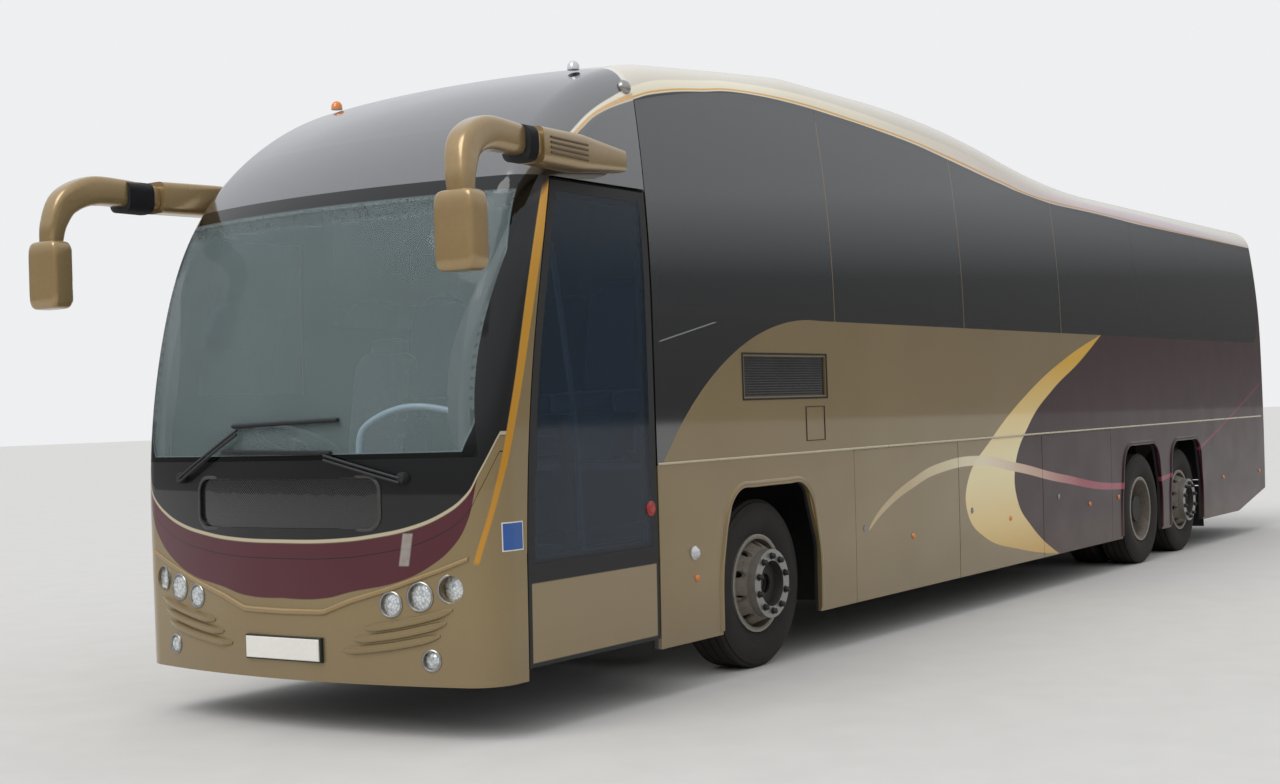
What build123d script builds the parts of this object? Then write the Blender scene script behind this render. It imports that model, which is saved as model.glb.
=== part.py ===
from build123d import *
import os
from math import asin, atan2, cos, degrees, radians, sin, sqrt

os.makedirs("parts", exist_ok=True)

# Where things stand along the coach, in millimetres, +X forward, +Y left, +Z up
wheelbase = 7050          # front axle to drive axle
bogie_spread = 1400       # drive axle to tag axle
nose_overhang = 2885      # front axle to the nose
tail_overhang = 3190      # tag axle to the tail
mirror_reach = 3200       # front axle to the front of the mirrors
front_axle_x = (wheelbase + bogie_spread + tail_overhang - mirror_reach) / 2
drive_axle_x = front_axle_x - wheelbase
tag_axle_x = drive_axle_x - bogie_spread
nose_x = front_axle_x + nose_overhang
tail_x = tag_axle_x - tail_overhang

# Heights above the ground
skirt_z = 277             # lower edge of the body
floor_z = 1310            # top of the saloon floor
moulding_z = 1284         # top of the skirt panels
waist_z = 2137            # lower edge of the side windows
screen_z = 1400           # lower edge of the windscreen
bonnet_z = 2820           # joint between windscreen and dome

# Body cross-section
half_width = 1270         # at the moulding
wall = 45                 # whole wall, skin to lining
glass = 12                # bonded glazing
lean_radius = 9500        # side wall above the waist
lean_z = waist_z - 12     # where it starts to lean in
tuck_radius = 42000       # skirts below the moulding
corner_radius = 210       # front pillars, cantrails and rear corners
bow_radius = 4705         # front seen from above
tail_radius = 15300       # back wall seen from the side
hump_radius = 16000       # roof where it falls behind the hump
hump_turn = 8.2           # degrees each way
nose_bend_z = 1130        # where the front starts to lean back
front_arcs = [            # radius, degrees turned, straight run after it, nose to crown
    (4050, 18, 0),
    (1640, 32, 0),
    (2050, 34, 1364),
    (1300, 6, 0),
]
bow_axis_x = nose_x - bow_radius

# Side openings and joints, all as distances behind (-) or ahead (+) of the front axle
joint_gap = 8             # between panes and round doors
door_back = 1270
band_peak = -600          # highest point of the window line
band_peak_z = 3545
band_front_radius = 7900
band_back_radius = 23600
band_turn = 6.62
door_front = 2461         # lower front corner of the doorway
door_bend_z = 700         # where its front edge starts to lean back
door_radius = 7114
glass_back = -11330       # last pane ends
glass_corner = 260
pane_joints = [-900, -2996, -5035, -7084, -9133]
pillar = 90               # pillars behind the joints
sill = 55                 # wall that shows round an opening from inside
sweep_top = (-695, waist_z)          # gold panel sweeping up to the window line
sweep_mid = (564, 1838)
sweep_low = (1218, moulding_z)
driver_sill_z = 1700
driver_inset = 70
side_display_x = -225     # middle of the side display
side_display_z = 1782
side_display_length = 1030
side_display_height = 245

# Front: windscreen edge, display, bumper line and lamps
screen_edge = [(2710, 1400), (2575, 2180), (2200, 2820)]
display_half = 642
display_low_z = 1054
display_top_z = 1310
display_corner = 70
lip_y = 560
lip_z = 706
lamp_line_y = 1136
lamp_line_z = 870
bumper_side_z = 922
head_lamps = [            # across, height, radius
    (696, 679, 58),
    (863, 719, 66),
    (1032, 757, 66),
    (917, 406, 46),
]
lamp_corner_back = 25
lens_rise = 14
lens_out = 4
tail_lamps = [(1090, 760, 60), (1090, 920, 60), (1090, 1080, 60)]

# Lower body
ramp_front = -10340       # tail lifts clear of the road from here
ramp_back = -11410
ramp_z = 466
tuck_in = 12
arch_top_z = 1118
arch_knee_z = 700
arch_corner_radius = 130
arches = [                # centre, half width low, half width at the top
    (0, 604, 440),
    (-wheelbase, 581, 430),
    (-wheelbase - bogie_spread, 538, 410),
]
hold_front = -1106        # luggage hold and its doors
hold_back = -6190
bay_count = 3
leaf_top_z = 1276         # upper edge of the doors
barrel_radius = 4
pin_gap = 0.3
lid_half = 780
lid_low_z = 560
lid_top_z = 1236
lid_hinge_z = 1244
rear_window_half = 980
rear_window_low_z = 2190
rear_window_top_z = 3060

# Frame, floor and engine
rail_y = 430
rail_width = 80
rail_height = 140
rail_z = 660
nose_set = 2500
tail_inset = -11300
bulkhead_set = 40
cross_members = [2200, 900, -9300, -11200]
hold_floor = 50
floor_thick = 40
cab_z = 950
cab_length = 1200
step_inner = 100
step_outer = 1160
step_length = 1150
step_count = 4
step_low_z = 400
step_rise = 225
step_tread = 290
riser = 30
engine_x = -10300
engine_length = 1500
engine_height = 560

# Axles and wheels
wheel_z = 515
tyre_radius = 515
tyre_width = 295
tread_half = 130
shoulder = 18
bead_half = 115
bead_radius = 286
rim_flange_radius = 300
bead_top = 302            # side walls start just clear of the rim's flanges
rim_inner_radius = 272
rim_lip = 13
twin_spacing = 340
front_wheel_y = 1021
drive_wheel_y = 1110
tag_wheel_y = 1055
hand_hole_count = 10
hand_hole_radius = 22
hand_hole_pitch = 238
disc_points = [(30, 273), (60, 273), (172, 215), (177, 60), (163, 60), (158, 205), (48, 262), (30, 262)]
hub_points = [
    (228, 210), (228, 138), (150, 125), (150, 40.3), (60, 40.3),
    (60, 100), (135, 110), (163, 150), (163, 210),
]
drive_hub_points = [
    (90, 60), (90, 120), (-100, 160), (-163, 205), (-177, 205),
    (-177, 40.3), (60, 40.3), (60, 0), (90, 0),
]
kingpin_y = 800
kingpin_radius = 30
eye_radius = 60
eye_low_z = 430
eye_height = 170
beam_width = 110
beam_height = 70
spindle_radius = 40
spindle_out = 140         # reach past the wheel's centre
drive_spindle_out = 55
spring_radius = 110
axle_tube_radius = 75
axle_tube_half = 560
diff_radius = 210

# Passenger door and its arms
door_low_z = 330
door_top_z = 2808
door_pane_low_z = 790
door_border = 62
door_frame = 30
door_rail = 40
arm_post_x = 2380
arm_post_y = 1150
arm_post_radius = 24
arm_post_top_z = 2300
arm_reach = 367
arm_drop = 40
elbow_x = 84
elbow_y = 183
arm_z = (700, 1500)
arm_tall = 40
arm_half = 22
arm_pin = 9

# Mirrors and wipers
mirror_blocks = [         # back, front, across, height, deep, tall
    (1640, 2500, 1320, 2925, 200, 150),
    (2490, 3120, 1400, 2915, 110, 110),
]
mirror_round = 40
mirror_head_x = 3130
mirror_head_y = 1466
mirror_head_deep = 140
mirror_head_wide = 240
mirror_head_low_z = 2262
mirror_head_top_z = 2930
mirror_head_round = 50
wiper_x = 2700
wiper_y = 790
wiper_z = 1345
wiper_boss = 26
wiper_boss_long = 230
wiper_bar = 14
wiper_arm = 620
wiper_blade = 760

# Cab and saloon
dash_back = 2290
dash_top_z = 1390
steer_x = 2150
steer_y = 600
steer_z = 1480
steer_tilt = 25
steer_radius = 235
steer_grip = 14
steer_hub = 60
steer_column = 420
driver_x = 1560
driver_y = 600
driver_width = 480
seat_front_x = 640
seat_rows = 14
seat_pitch = 800
seat_y = 720
seat_width = 900


def at(x):
    """A distance ahead of the front axle as a place along the part."""
    return front_axle_x + x


def side_profile(inset, bottom_z):
    """Side view of the body, or of a skin inset in it: tangent arcs from the nose over the roof."""
    front, low, back = nose_x - inset, bottom_z + inset, tail_x + inset
    with BuildSketch() as profile:
        with BuildLine():
            edge = Line((front, low), (front, nose_bend_z))
            for radius, turn, run in front_arcs:
                edge = JernArc(edge @ 1, edge % 1, radius - inset, turn)
                if run:
                    edge = Line(edge @ 1, edge @ 1 + edge % 1 * run)
            edge = Line(edge @ 1, (bow_axis_x, (edge @ 1).Y))
            for bend in (1, -1):
                edge = JernArc(edge @ 1, edge % 1, hump_radius - bend * inset, bend * hump_turn)
            rise = degrees(asin(((edge @ 1).Y - moulding_z) / (tail_radius - inset)))
            tail = JernArc((back, moulding_z), (0, 1), tail_radius - inset, -rise)
            Line(edge @ 1, tail @ 1)
            Line(tail @ 0, (back, low))
            Line((back, low), (front, low))
        make_face()
    return profile.sketch


def body_form(inset, bottom_z):
    """The closed body, its skin lying inset inside the outer one."""
    reach = nose_x - tail_x
    with BuildPart() as form:
        with BuildSketch(Plane.XZ):
            add(side_profile(inset, bottom_z))
            with Locations((bow_axis_x, 0)):
                Rectangle(reach, reach, align=(Align.MIN, Align.CENTER), mode=Mode.INTERSECT)
        revolve(axis=Axis((bow_axis_x, 0, 0), (0, 0, 1)))
        split(bisect_by=Plane.YZ.offset(bow_axis_x), keep=Keep.TOP)
        with BuildSketch(Plane.XZ):
            add(side_profile(inset, bottom_z))
            with Locations((bow_axis_x, 0)):
                Rectangle(reach, reach, align=(Align.MAX, Align.CENTER), mode=Mode.INTERSECT)
        extrude(amount=half_width + wall, both=True)
        with BuildSketch(Plane.YZ):
            with BuildLine():
                low = degrees(asin((moulding_z - bottom_z) / tuck_radius))
                skirt = JernArc((half_width, moulding_z), (0, -1), tuck_radius, -low)
                side = Line((half_width, moulding_z), (half_width, lean_z))
                lean = JernArc(side @ 1, (0, 1), lean_radius, 11)
                Line(lean @ 1, (0, (lean @ 1).Y))
                Line(skirt @ 1, (0, bottom_z))
                mirror(about=Plane.YZ)
            make_face()
            if inset:
                offset(amount=-inset, kind=Kind.INTERSECTION)
        extrude(amount=reach, both=True, mode=Mode.INTERSECT)
        sides = form.edges().filter_by(
            lambda e: abs(e.center().Y) > half_width / 2
            and e.center().Z > bottom_z + inset + 1
            and not (e.center().Z < bonnet_z and abs((e % 0.5).X) > 0.9999)
        )
        back = form.edges().filter_by(
            lambda e: e.center().X < tail_x + 300
            and e.center().Z > bonnet_z
            and abs((e % 0.5).Y) > 0.9999
        )
        fillet(sides + back, corner_radius - inset)
    return form.part


def window_field(bottom_z, back, front, lift=0):
    """Side view of the field under the window line, between two stations."""
    top = (at(band_peak), band_peak_z + lift)
    far = tail_x - half_width
    with BuildSketch() as field:
        with BuildLine():
            turn = degrees(asin((door_back - band_peak) / band_front_radius))
            ahead = JernArc(top, (1, 0), band_front_radius, -turn)
            fall = JernArc(top, (-1, 0), band_back_radius, band_turn)
            level = JernArc(fall @ 1, fall % 1, band_back_radius, -band_turn)
            Polyline(level @ 1, (far, (level @ 1).Y), (far, bottom_z), (at(door_back), bottom_z), ahead @ 1)
        make_face()
        with Locations((at(back), bottom_z)):
            Rectangle(front - back, band_peak_z, align=(Align.MIN, Align.MIN), mode=Mode.INTERSECT)
    return field.sketch


def entrance_field(bottom_z, top_z, back, inset=0):
    """Side view of the doorway: straight at the back, raked and curved at the front."""
    turn = degrees(asin((top_z - door_bend_z) / door_radius))
    with BuildSketch() as field:
        with BuildLine():
            low = Line((at(door_front), 0), (at(door_front), door_bend_z))
            rake = JernArc(low @ 1, (0, 1), door_radius, turn)
            Polyline(rake @ 1, (at(back), top_z), (at(back), 0), low @ 0)
        make_face()
        with Locations((at(back), bottom_z)):
            Rectangle(nose_overhang, top_z - bottom_z, align=(Align.MIN, Align.MIN), mode=Mode.INTERSECT)
        if inset:
            offset(amount=-inset, kind=Kind.INTERSECTION)
    return field.sketch


def arch_field(centre, low_half, top_half):
    """Side view of one wheel arch, open at the bottom."""
    with BuildSketch() as field:
        with BuildLine():
            Polyline(
                (centre - low_half, -100),
                (centre - low_half, arch_knee_z),
                (centre - top_half, arch_top_z),
                (centre + top_half, arch_top_z),
                (centre + low_half, arch_knee_z),
                (centre + low_half, -100),
                close=True,
            )
        make_face()
        fillet(field.vertices().group_by(Axis.Y)[-1], arch_corner_radius)
        fillet(field.vertices().group_by(Axis.Y)[1], 2 * arch_corner_radius)
    return field.sketch


def side_cut(sketch, side):
    """A side view carried outwards through one side of the body (+1 left, -1 right)."""
    with BuildPart() as cut:
        with BuildSketch(Plane.XZ.offset(-side * half_width / 2)):
            add(sketch)
        extrude(amount=-side * half_width)
    return cut.part


def through_cut(sketch):
    """A side view carried through the whole width of the body."""
    with BuildPart() as cut:
        with BuildSketch(Plane.XZ):
            add(sketch)
        extrude(amount=2 * half_width, both=True)
    return cut.part


def front_cut(sketch, back, front):
    """A front view, Y across and Z up, carried between two stations."""
    with BuildPart() as cut:
        with BuildSketch(Plane.YZ.offset(back)):
            add(sketch)
        extrude(amount=front - back)
    return cut.part


def box_between(low, high):
    """A plain block between two corners."""
    size = [h - l for l, h in zip(low, high)]
    with BuildPart() as block:
        with Locations(tuple(low)):
            Box(*size, align=(Align.MIN, Align.MIN, Align.MIN))
    return block.part


def finish(piece, name):
    """Label a piece and write its file."""
    piece.part.label = name
    export_step(piece.part, f"parts/{name}.step")


# The skin, the glazing in it and the ground line of the body
outer_form = body_form(0, 0)
glass_form = body_form(glass, -200)
inner_form = body_form(wall, -200)

with BuildPart() as skin:
    add(outer_form)
    add(inner_form, mode=Mode.SUBTRACT)

with BuildPart() as glazing:
    add(outer_form)
    add(glass_form, mode=Mode.SUBTRACT)

with BuildPart() as under_body:
    with BuildSketch(Plane.XZ):
        with BuildLine():
            Polyline(
                (nose_x + wall, -200),
                (nose_x + wall, skirt_z),
                (at(ramp_front), skirt_z),
                (at(ramp_back), ramp_z),
                (tail_x - wall, ramp_z + 40),
                (tail_x - wall, -200),
                close=True,
            )
        make_face()
    extrude(amount=2 * half_width, both=True)

seam_z = moulding_z + barrel_radius + pin_gap      # side walls stand on this line
wall_back = tail_x + 240                           # side walls end, back wall begins

# Windscreen and front
with BuildSketch() as screen_side:
    with BuildLine():
        edge = ThreePointArc(*[(at(x), z) for x, z in screen_edge])
        Polyline(edge @ 1, (nose_x + wall, bonnet_z), (nose_x + wall, screen_z), edge @ 0)
    make_face()

with BuildPart() as windscreen:
    add(glazing)
    add(through_cut(screen_side.sketch), mode=Mode.INTERSECT)
finish(windscreen, "windscreen")

with BuildSketch() as bumper_front:
    with BuildLine():
        Polyline((0, 0), (half_width + wall, 0), (half_width + wall, bumper_side_z),
                 (lamp_line_y, lamp_line_z), (lip_y, lip_z), (0, lip_z))
        mirror(about=Plane.YZ)
    make_face()

with BuildSketch() as display_front:
    with Locations((0, (display_low_z + display_top_z) / 2)):
        RectangleRounded(2 * display_half, display_top_z - display_low_z, display_corner)

with BuildPart() as front_panel:
    add(skin)
    with BuildSketch(Plane.XZ):
        with Locations((at(door_back), 0)):
            Rectangle(4000, bonnet_z, align=(Align.MIN, Align.MIN))
        add(entrance_field(0, bonnet_z, door_back), mode=Mode.SUBTRACT)
        add(screen_side, mode=Mode.SUBTRACT)
    extrude(amount=2 * half_width, both=True, mode=Mode.INTERSECT)
    add(front_cut(bumper_front.sketch, at(door_back), nose_x + wall), mode=Mode.SUBTRACT)
    add(front_cut(display_front.sketch, at(door_front), nose_x + wall), mode=Mode.SUBTRACT)
finish(front_panel, "front_panel")

with BuildPart() as front_bumper:
    add(skin)
    with BuildSketch(Plane.XZ):
        with Locations((at(door_front), 0)):
            Rectangle(4000, bonnet_z, align=(Align.MIN, Align.MIN))
    extrude(amount=2 * half_width, both=True, mode=Mode.INTERSECT)
    add(front_cut(bumper_front.sketch, at(door_back), nose_x + wall), mode=Mode.INTERSECT)
    add(under_body, mode=Mode.SUBTRACT)
    for y, z, radius in head_lamps:
        for side in (1, -1):
            with BuildSketch(Plane.YZ.offset(at(door_front))):
                with Locations((side * y, z)):
                    Circle(radius)
            extrude(amount=900, mode=Mode.SUBTRACT)
finish(front_bumper, "front_bumper")

# Dome and roof
with BuildPart() as front_dome:
    add(skin)
    with BuildSketch(Plane.XZ):
        with Locations((at(door_back), bonnet_z)):
            Rectangle(4000, 2000, align=(Align.MIN, Align.MIN))
    extrude(amount=2 * half_width, both=True, mode=Mode.INTERSECT)
finish(front_dome, "front_dome")

with BuildPart() as roof_panel:
    add(skin)
    with BuildSketch(Plane.XZ):
        with Locations((at(door_back), waist_z)):
            Rectangle(20000, 3000, align=(Align.MAX, Align.MIN))
    extrude(amount=2 * half_width, both=True, mode=Mode.INTERSECT)
    add(through_cut(window_field(0, -12000, glass_back)), mode=Mode.SUBTRACT)
    for side in (1, -1):
        add(side_cut(window_field(0, -12000, door_back), side), mode=Mode.SUBTRACT)
finish(roof_panel, "roof_panel")

# Side windows: one field per side, cut by the joints between the panes
def glass_field(side):
    """Side view of the glazed field of one side."""
    with BuildSketch() as field:
        add(window_field(waist_z, glass_back, door_back - joint_gap))
        fillet(field.vertices().group_by(Axis.X)[0].sort_by(Axis.Y)[0:1], glass_corner)
        if side > 0:
            add(window_field(seam_z, sweep_top[0], door_back - joint_gap))
            with BuildLine():
                sweep = ThreePointArc(*[(at(x), z) for x, z in (sweep_top, sweep_mid, sweep_low)])
                under = seam_z - wall
                Polyline(sweep @ 1, (at(door_back), under), (at(sweep_top[0]), under), sweep @ 0)
            make_face(mode=Mode.SUBTRACT)
        for joint in pane_joints:
            with Locations((at(joint), 0)):
                Rectangle(joint_gap, 9000, mode=Mode.SUBTRACT)
    return field.sketch


def opening_field():
    """Side view of the openings behind the panes, between the pillars."""
    stations = [door_back - joint_gap - pillar / 2] + pane_joints + [glass_back + pillar]
    with BuildSketch() as field:
        for ahead, behind in zip(stations, stations[1:]):
            add(window_field(waist_z + sill, behind + pillar / 2, ahead - pillar / 2, -sill))
    return field.sketch


driver_glass = entrance_field(driver_sill_z, bonnet_z - sill, door_back + pillar, driver_inset)

for side, name in ((1, "left"), (-1, "right")):
    with BuildPart() as side_wall:
        add(skin)
        with BuildSketch(Plane.XZ.offset(-side * half_width / 2)):
            if side > 0:
                add(window_field(seam_z, 0, door_back - joint_gap))
            with Locations((wall_back, seam_z)):
                Rectangle(at(door_back) - wall_back - (joint_gap if side > 0 else 0), 3000,
                          align=(Align.MIN, Align.MIN))
            add(window_field(0, -12000, door_back), mode=Mode.INTERSECT)
            if side < 0:
                add(entrance_field(seam_z, bonnet_z, door_back))
        extrude(amount=-side * half_width, mode=Mode.INTERSECT)
        add(side_cut(opening_field(), side), mode=Mode.SUBTRACT)
        pane_space = side_cut(glass_field(side), side) & glazing.part
        add(pane_space, mode=Mode.SUBTRACT)
        if side < 0:
            add(side_cut(driver_glass, side), mode=Mode.SUBTRACT)
        if side > 0:
            with BuildSketch(Plane.XZ.offset(-half_width / 2)):
                with Locations((at(side_display_x), side_display_z)):
                    Rectangle(side_display_length, side_display_height)
            extrude(amount=-half_width, mode=Mode.SUBTRACT)
    finish(side_wall, f"side_wall_{name}")

    with BuildPart() as side_glass:
        add(glazing)
        add(side_cut(glass_field(side), side), mode=Mode.INTERSECT)
        if side < 0:
            with BuildPart(mode=Mode.PRIVATE) as quarter:
                add(glazing)
                add(side_cut(driver_glass, side), mode=Mode.INTERSECT)
            add(quarter)
    finish(side_glass, f"side_glass_{name}")

    with BuildPart() as skirt:
        add(skin)
        with BuildSketch(Plane.XZ.offset(-side * half_width / 2)):
            front_end = door_back - joint_gap if side > 0 else door_back
            with Locations((wall_back, 0)):
                Rectangle(at(front_end) - wall_back, seam_z, align=(Align.MIN, Align.MIN))
            if side < 0:
                add(entrance_field(0, seam_z, door_back))
            for centre, low_half, top_half in arches:
                add(arch_field(at(centre), low_half, top_half), mode=Mode.SUBTRACT)
            with Locations((at(hold_front), 0)):
                Rectangle(hold_front - hold_back, seam_z + 1, align=(Align.MAX, Align.MIN),
                          mode=Mode.SUBTRACT)
        extrude(amount=-side * half_width, mode=Mode.INTERSECT)
        add(under_body, mode=Mode.SUBTRACT)
    finish(skirt, f"skirt_{name}")

    # Luggage doors, each hung on a full-length barrel at its upper edge
    bay = (hold_front - hold_back) / bay_count
    for number in range(bay_count):
        front_end = hold_front - number * bay - joint_gap / 2
        with BuildPart() as luggage_door:
            add(skin)
            with BuildSketch(Plane.XZ.offset(-side * half_width / 2)):
                with Locations((at(front_end), skirt_z)):
                    Rectangle(bay - joint_gap, leaf_top_z - skirt_z, align=(Align.MAX, Align.MIN))
            extrude(amount=-side * half_width, mode=Mode.INTERSECT)
            with BuildSketch(Plane.YZ.offset(at(front_end))):
                with Locations((side * half_width, moulding_z)):
                    Circle(barrel_radius)
                with Locations((side * (half_width - barrel_radius / 2), leaf_top_z - 1)):
                    Rectangle(barrel_radius, moulding_z - leaf_top_z + 1,
                              align=(Align.CENTER, Align.MIN))
            extrude(amount=joint_gap - bay)
        finish(luggage_door, f"luggage_door_{name}_{number + 1}")

# Back of the body
with BuildSketch() as lid_back:
    with Locations((0, lid_low_z)):
        Rectangle(2 * lid_half, lid_top_z - lid_low_z, align=(Align.CENTER, Align.MIN))

with BuildSketch() as rear_window_field:
    with Locations((0, (rear_window_low_z + rear_window_top_z) / 2)):
        RectangleRounded(2 * rear_window_half, rear_window_top_z - rear_window_low_z, 120)

back_wall = box_between(
    (tail_x - wall, -half_width - wall, seam_z),
    (wall_back, half_width + wall, bonnet_z + 800),
)
window_space = front_cut(rear_window_field.sketch, tail_x - wall, wall_back)

with BuildPart() as rear_panel:
    add(skin)
    add(back_wall, mode=Mode.INTERSECT)
    add(through_cut(window_field(0, -12000, door_back)), mode=Mode.INTERSECT)
    add(glazing.part & window_space, mode=Mode.SUBTRACT)
    with BuildSketch(Plane.YZ.offset(tail_x - wall)):
        add(rear_window_field)
        offset(amount=-sill)
    extrude(amount=300, mode=Mode.SUBTRACT)
finish(rear_panel, "rear_panel")

with BuildPart() as rear_window:
    add(glazing)
    add(window_space, mode=Mode.INTERSECT)
finish(rear_window, "rear_window")

with BuildPart() as rear_bumper:
    add(skin)
    add(box_between((tail_x - wall, -half_width - wall, 0), (wall_back, half_width + wall, seam_z)),
        mode=Mode.INTERSECT)
    add(under_body, mode=Mode.SUBTRACT)
    with BuildSketch(Plane.YZ.offset(tail_x - wall)):
        with Locations((0, lid_low_z - joint_gap)):
            Rectangle(2 * (lid_half + joint_gap),
                      lid_top_z + barrel_radius + pin_gap - lid_low_z + 2 * joint_gap,
                      align=(Align.CENTER, Align.MIN))
        for y, z, radius in tail_lamps:
            with Locations((y, z), (-y, z)):
                Circle(radius)
    extrude(amount=300, mode=Mode.SUBTRACT)
finish(rear_bumper, "rear_bumper")

with BuildPart() as engine_lid:
    add(skin)
    add(front_cut(lid_back.sketch, tail_x - wall, wall_back), mode=Mode.INTERSECT)
    with BuildSketch(Plane.XZ.offset(-lid_half)):
        with Locations((tail_x, lid_hinge_z)):
            Circle(barrel_radius)
        with Locations((tail_x + barrel_radius / 2, lid_top_z - 1)):
            Rectangle(barrel_radius, lid_hinge_z - lid_top_z + 1, align=(Align.CENTER, Align.MIN))
    extrude(amount=2 * lid_half)
finish(engine_lid, "engine_lid")

# Lamps: domed lenses set in their holes, front and back
with BuildPart() as lamps:
    for y, z, radius in head_lamps:
        for side in (1, -1):
            setback = bow_radius - sqrt(bow_radius**2 - y**2)
            face = nose_x - setback - (lamp_corner_back if y > 1000 else 0)
            with BuildSketch(Plane(origin=(face - wall, side * y, z), z_dir=(0, -1, 0), x_dir=(1, 0, 0))):
                ball = ((radius - pin_gap) ** 2 + lens_rise**2) / (2 * lens_rise)
                with BuildLine():
                    turn = degrees(asin((radius - pin_gap) / ball))
                    lens = JernArc((wall + lens_out, 0), (0, 1), ball, turn)
                    Polyline(lens @ 1, (-wall, radius - pin_gap), (-wall, 0), lens @ 0)
                make_face()
            revolve(axis=Axis((face, side * y, z), (1, 0, 0)))
    for y, z, radius in tail_lamps:
        for side in (1, -1):
            with BuildSketch(Plane.YZ.offset(tail_x - 6)):
                with Locations((side * y, z)):
                    Circle(radius - pin_gap)
            extrude(amount=wall)
finish(lamps, "lamps")

with BuildPart() as displays:
    add(glass_form)
    add(inner_form, mode=Mode.SUBTRACT)
    with BuildSketch(Plane.YZ.offset(at(door_front))):
        add(display_front)
        offset(amount=-pin_gap)
    extrude(amount=900, mode=Mode.INTERSECT)
    with BuildSketch(Plane.XZ.offset(-(half_width - glass))):
        with Locations((at(side_display_x), side_display_z)):
            Rectangle(side_display_length - 2 * pin_gap, side_display_height - 2 * pin_gap)
    extrude(amount=wall - glass)
finish(displays, "displays")

# Running gear
with BuildPart() as chassis_frame:
    for back, front in ((hold_back - bulkhead_set, tail_inset), (nose_set, hold_front + bulkhead_set)):
        low, high = sorted((at(back), at(front)))
        for side in (1, -1):
            with Locations(((low + high) / 2, side * rail_y, rail_z)):
                Box(high - low, rail_width, rail_height, align=(Align.CENTER, Align.CENTER, Align.MIN))
    for x in cross_members:
        with Locations((at(x), 0, rail_z)):
            Box(rail_width, 2 * rail_y, rail_height, align=(Align.CENTER, Align.CENTER, Align.MIN))
finish(chassis_frame, "chassis_frame")

with BuildPart() as luggage_hold:
    inside = 2 * (half_width - wall - tuck_in - joint_gap)
    with Locations((at((hold_front + hold_back) / 2), 0, skirt_z + joint_gap)):
        Box(hold_front - hold_back, inside, hold_floor, align=(Align.CENTER, Align.CENTER, Align.MIN))
    for x in (hold_front + bulkhead_set / 2, hold_back - bulkhead_set / 2):
        with Locations((at(x), 0, skirt_z + joint_gap)):
            Box(bulkhead_set, inside, floor_z - floor_thick - skirt_z - joint_gap,
                align=(Align.CENTER, Align.CENTER, Align.MIN))
finish(luggage_hold, "luggage_hold")

with BuildPart() as floor_deck:
    wide = 2 * (half_width - wall - pin_gap)
    with Locations((at(door_back), 0, floor_z)):
        Box(door_back + 11350, wide, floor_thick, align=(Align.MAX, Align.CENTER, Align.MAX))
    with Locations((at(door_back), -step_inner, cab_z)):
        Box(cab_length, wide / 2 - step_inner - joint_gap, floor_thick,
            align=(Align.MIN, Align.MAX, Align.MAX))
    with Locations((at(door_back), -step_inner, cab_z - floor_thick)):
        Box(floor_thick, 2 * step_inner, floor_z - cab_z + floor_thick,
            align=(Align.MIN, Align.MIN, Align.MIN))
    for number in range(step_count):
        top = step_low_z + number * step_rise
        with Locations((at(door_back), step_outer - number * step_tread, top)):
            Box(step_length, step_outer - number * step_tread + step_inner, floor_thick,
                align=(Align.MIN, Align.MAX, Align.MAX))
        if number:
            with Locations((at(door_back), step_outer - number * step_tread, top - step_rise)):
                Box(step_length, riser, step_rise, align=(Align.MIN, Align.MAX, Align.MIN))
finish(floor_deck, "floor_deck")

with BuildPart() as engine_block:
    with Locations((at(engine_x), 0, rail_z - 100)):
        Box(engine_length, 2 * rail_y - rail_width - 2 * pin_gap, engine_height,
            align=(Align.CENTER, Align.CENTER, Align.MIN))
    chamfer(engine_block.edges().filter_by(Axis.X), 60)
finish(engine_block, "engine_block")


def axle_plane(x, side):
    """Plane with its local x outboard and its local y up, through a wheel's centre line."""
    return Plane(origin=(at(x), 0, wheel_z), x_dir=(0, side, 0), z_dir=(side, 0, 0))


with BuildPart() as front_axle:
    with Locations((at(0), 0, wheel_z)):
        Box(beam_width, 2 * kingpin_y, beam_height, align=(Align.CENTER, Align.CENTER, Align.MIN))
    for side in (1, -1):
        with Locations((at(0), side * kingpin_y, eye_low_z)):
            Cylinder(eye_radius, eye_height, align=(Align.CENTER, Align.CENTER, Align.MIN))
        with Locations((at(0), side * rail_y, wheel_z)):
            Cylinder(spring_radius, rail_z - wheel_z, align=(Align.CENTER, Align.CENTER, Align.MIN))
    for side in (1, -1):
        with Locations((at(0), side * kingpin_y, eye_low_z)):
            Cylinder(kingpin_radius + pin_gap, 3 * eye_height, mode=Mode.SUBTRACT)
finish(front_axle, "front_axle")

for side, name in ((1, "left"), (-1, "right")):
    with BuildPart() as knuckle:
        with Locations((at(0), side * kingpin_y, eye_low_z - 40)):
            Cylinder(kingpin_radius, eye_height + 80, align=(Align.CENTER, Align.CENTER, Align.MIN))
        for z in (eye_low_z - 40, eye_low_z + eye_height + pin_gap):
            with Locations((at(0), side * (kingpin_y - 50), z)):
                Box(100, 150, 40 - pin_gap,
                    align=(Align.CENTER, Align.MIN if side > 0 else Align.MAX, Align.MIN))
        with Locations((at(0), side * (kingpin_y + 70), eye_low_z - 40)):
            Box(100, 30, eye_height + 80,
                align=(Align.CENTER, Align.MIN if side > 0 else Align.MAX, Align.MIN))
        with BuildSketch(Plane(origin=(at(0), side * (kingpin_y + 90), wheel_z), z_dir=(0, side, 0))):
            Circle(spindle_radius)
        extrude(amount=front_wheel_y + spindle_out - kingpin_y - 90)
    finish(knuckle, f"knuckle_{name}")

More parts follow.
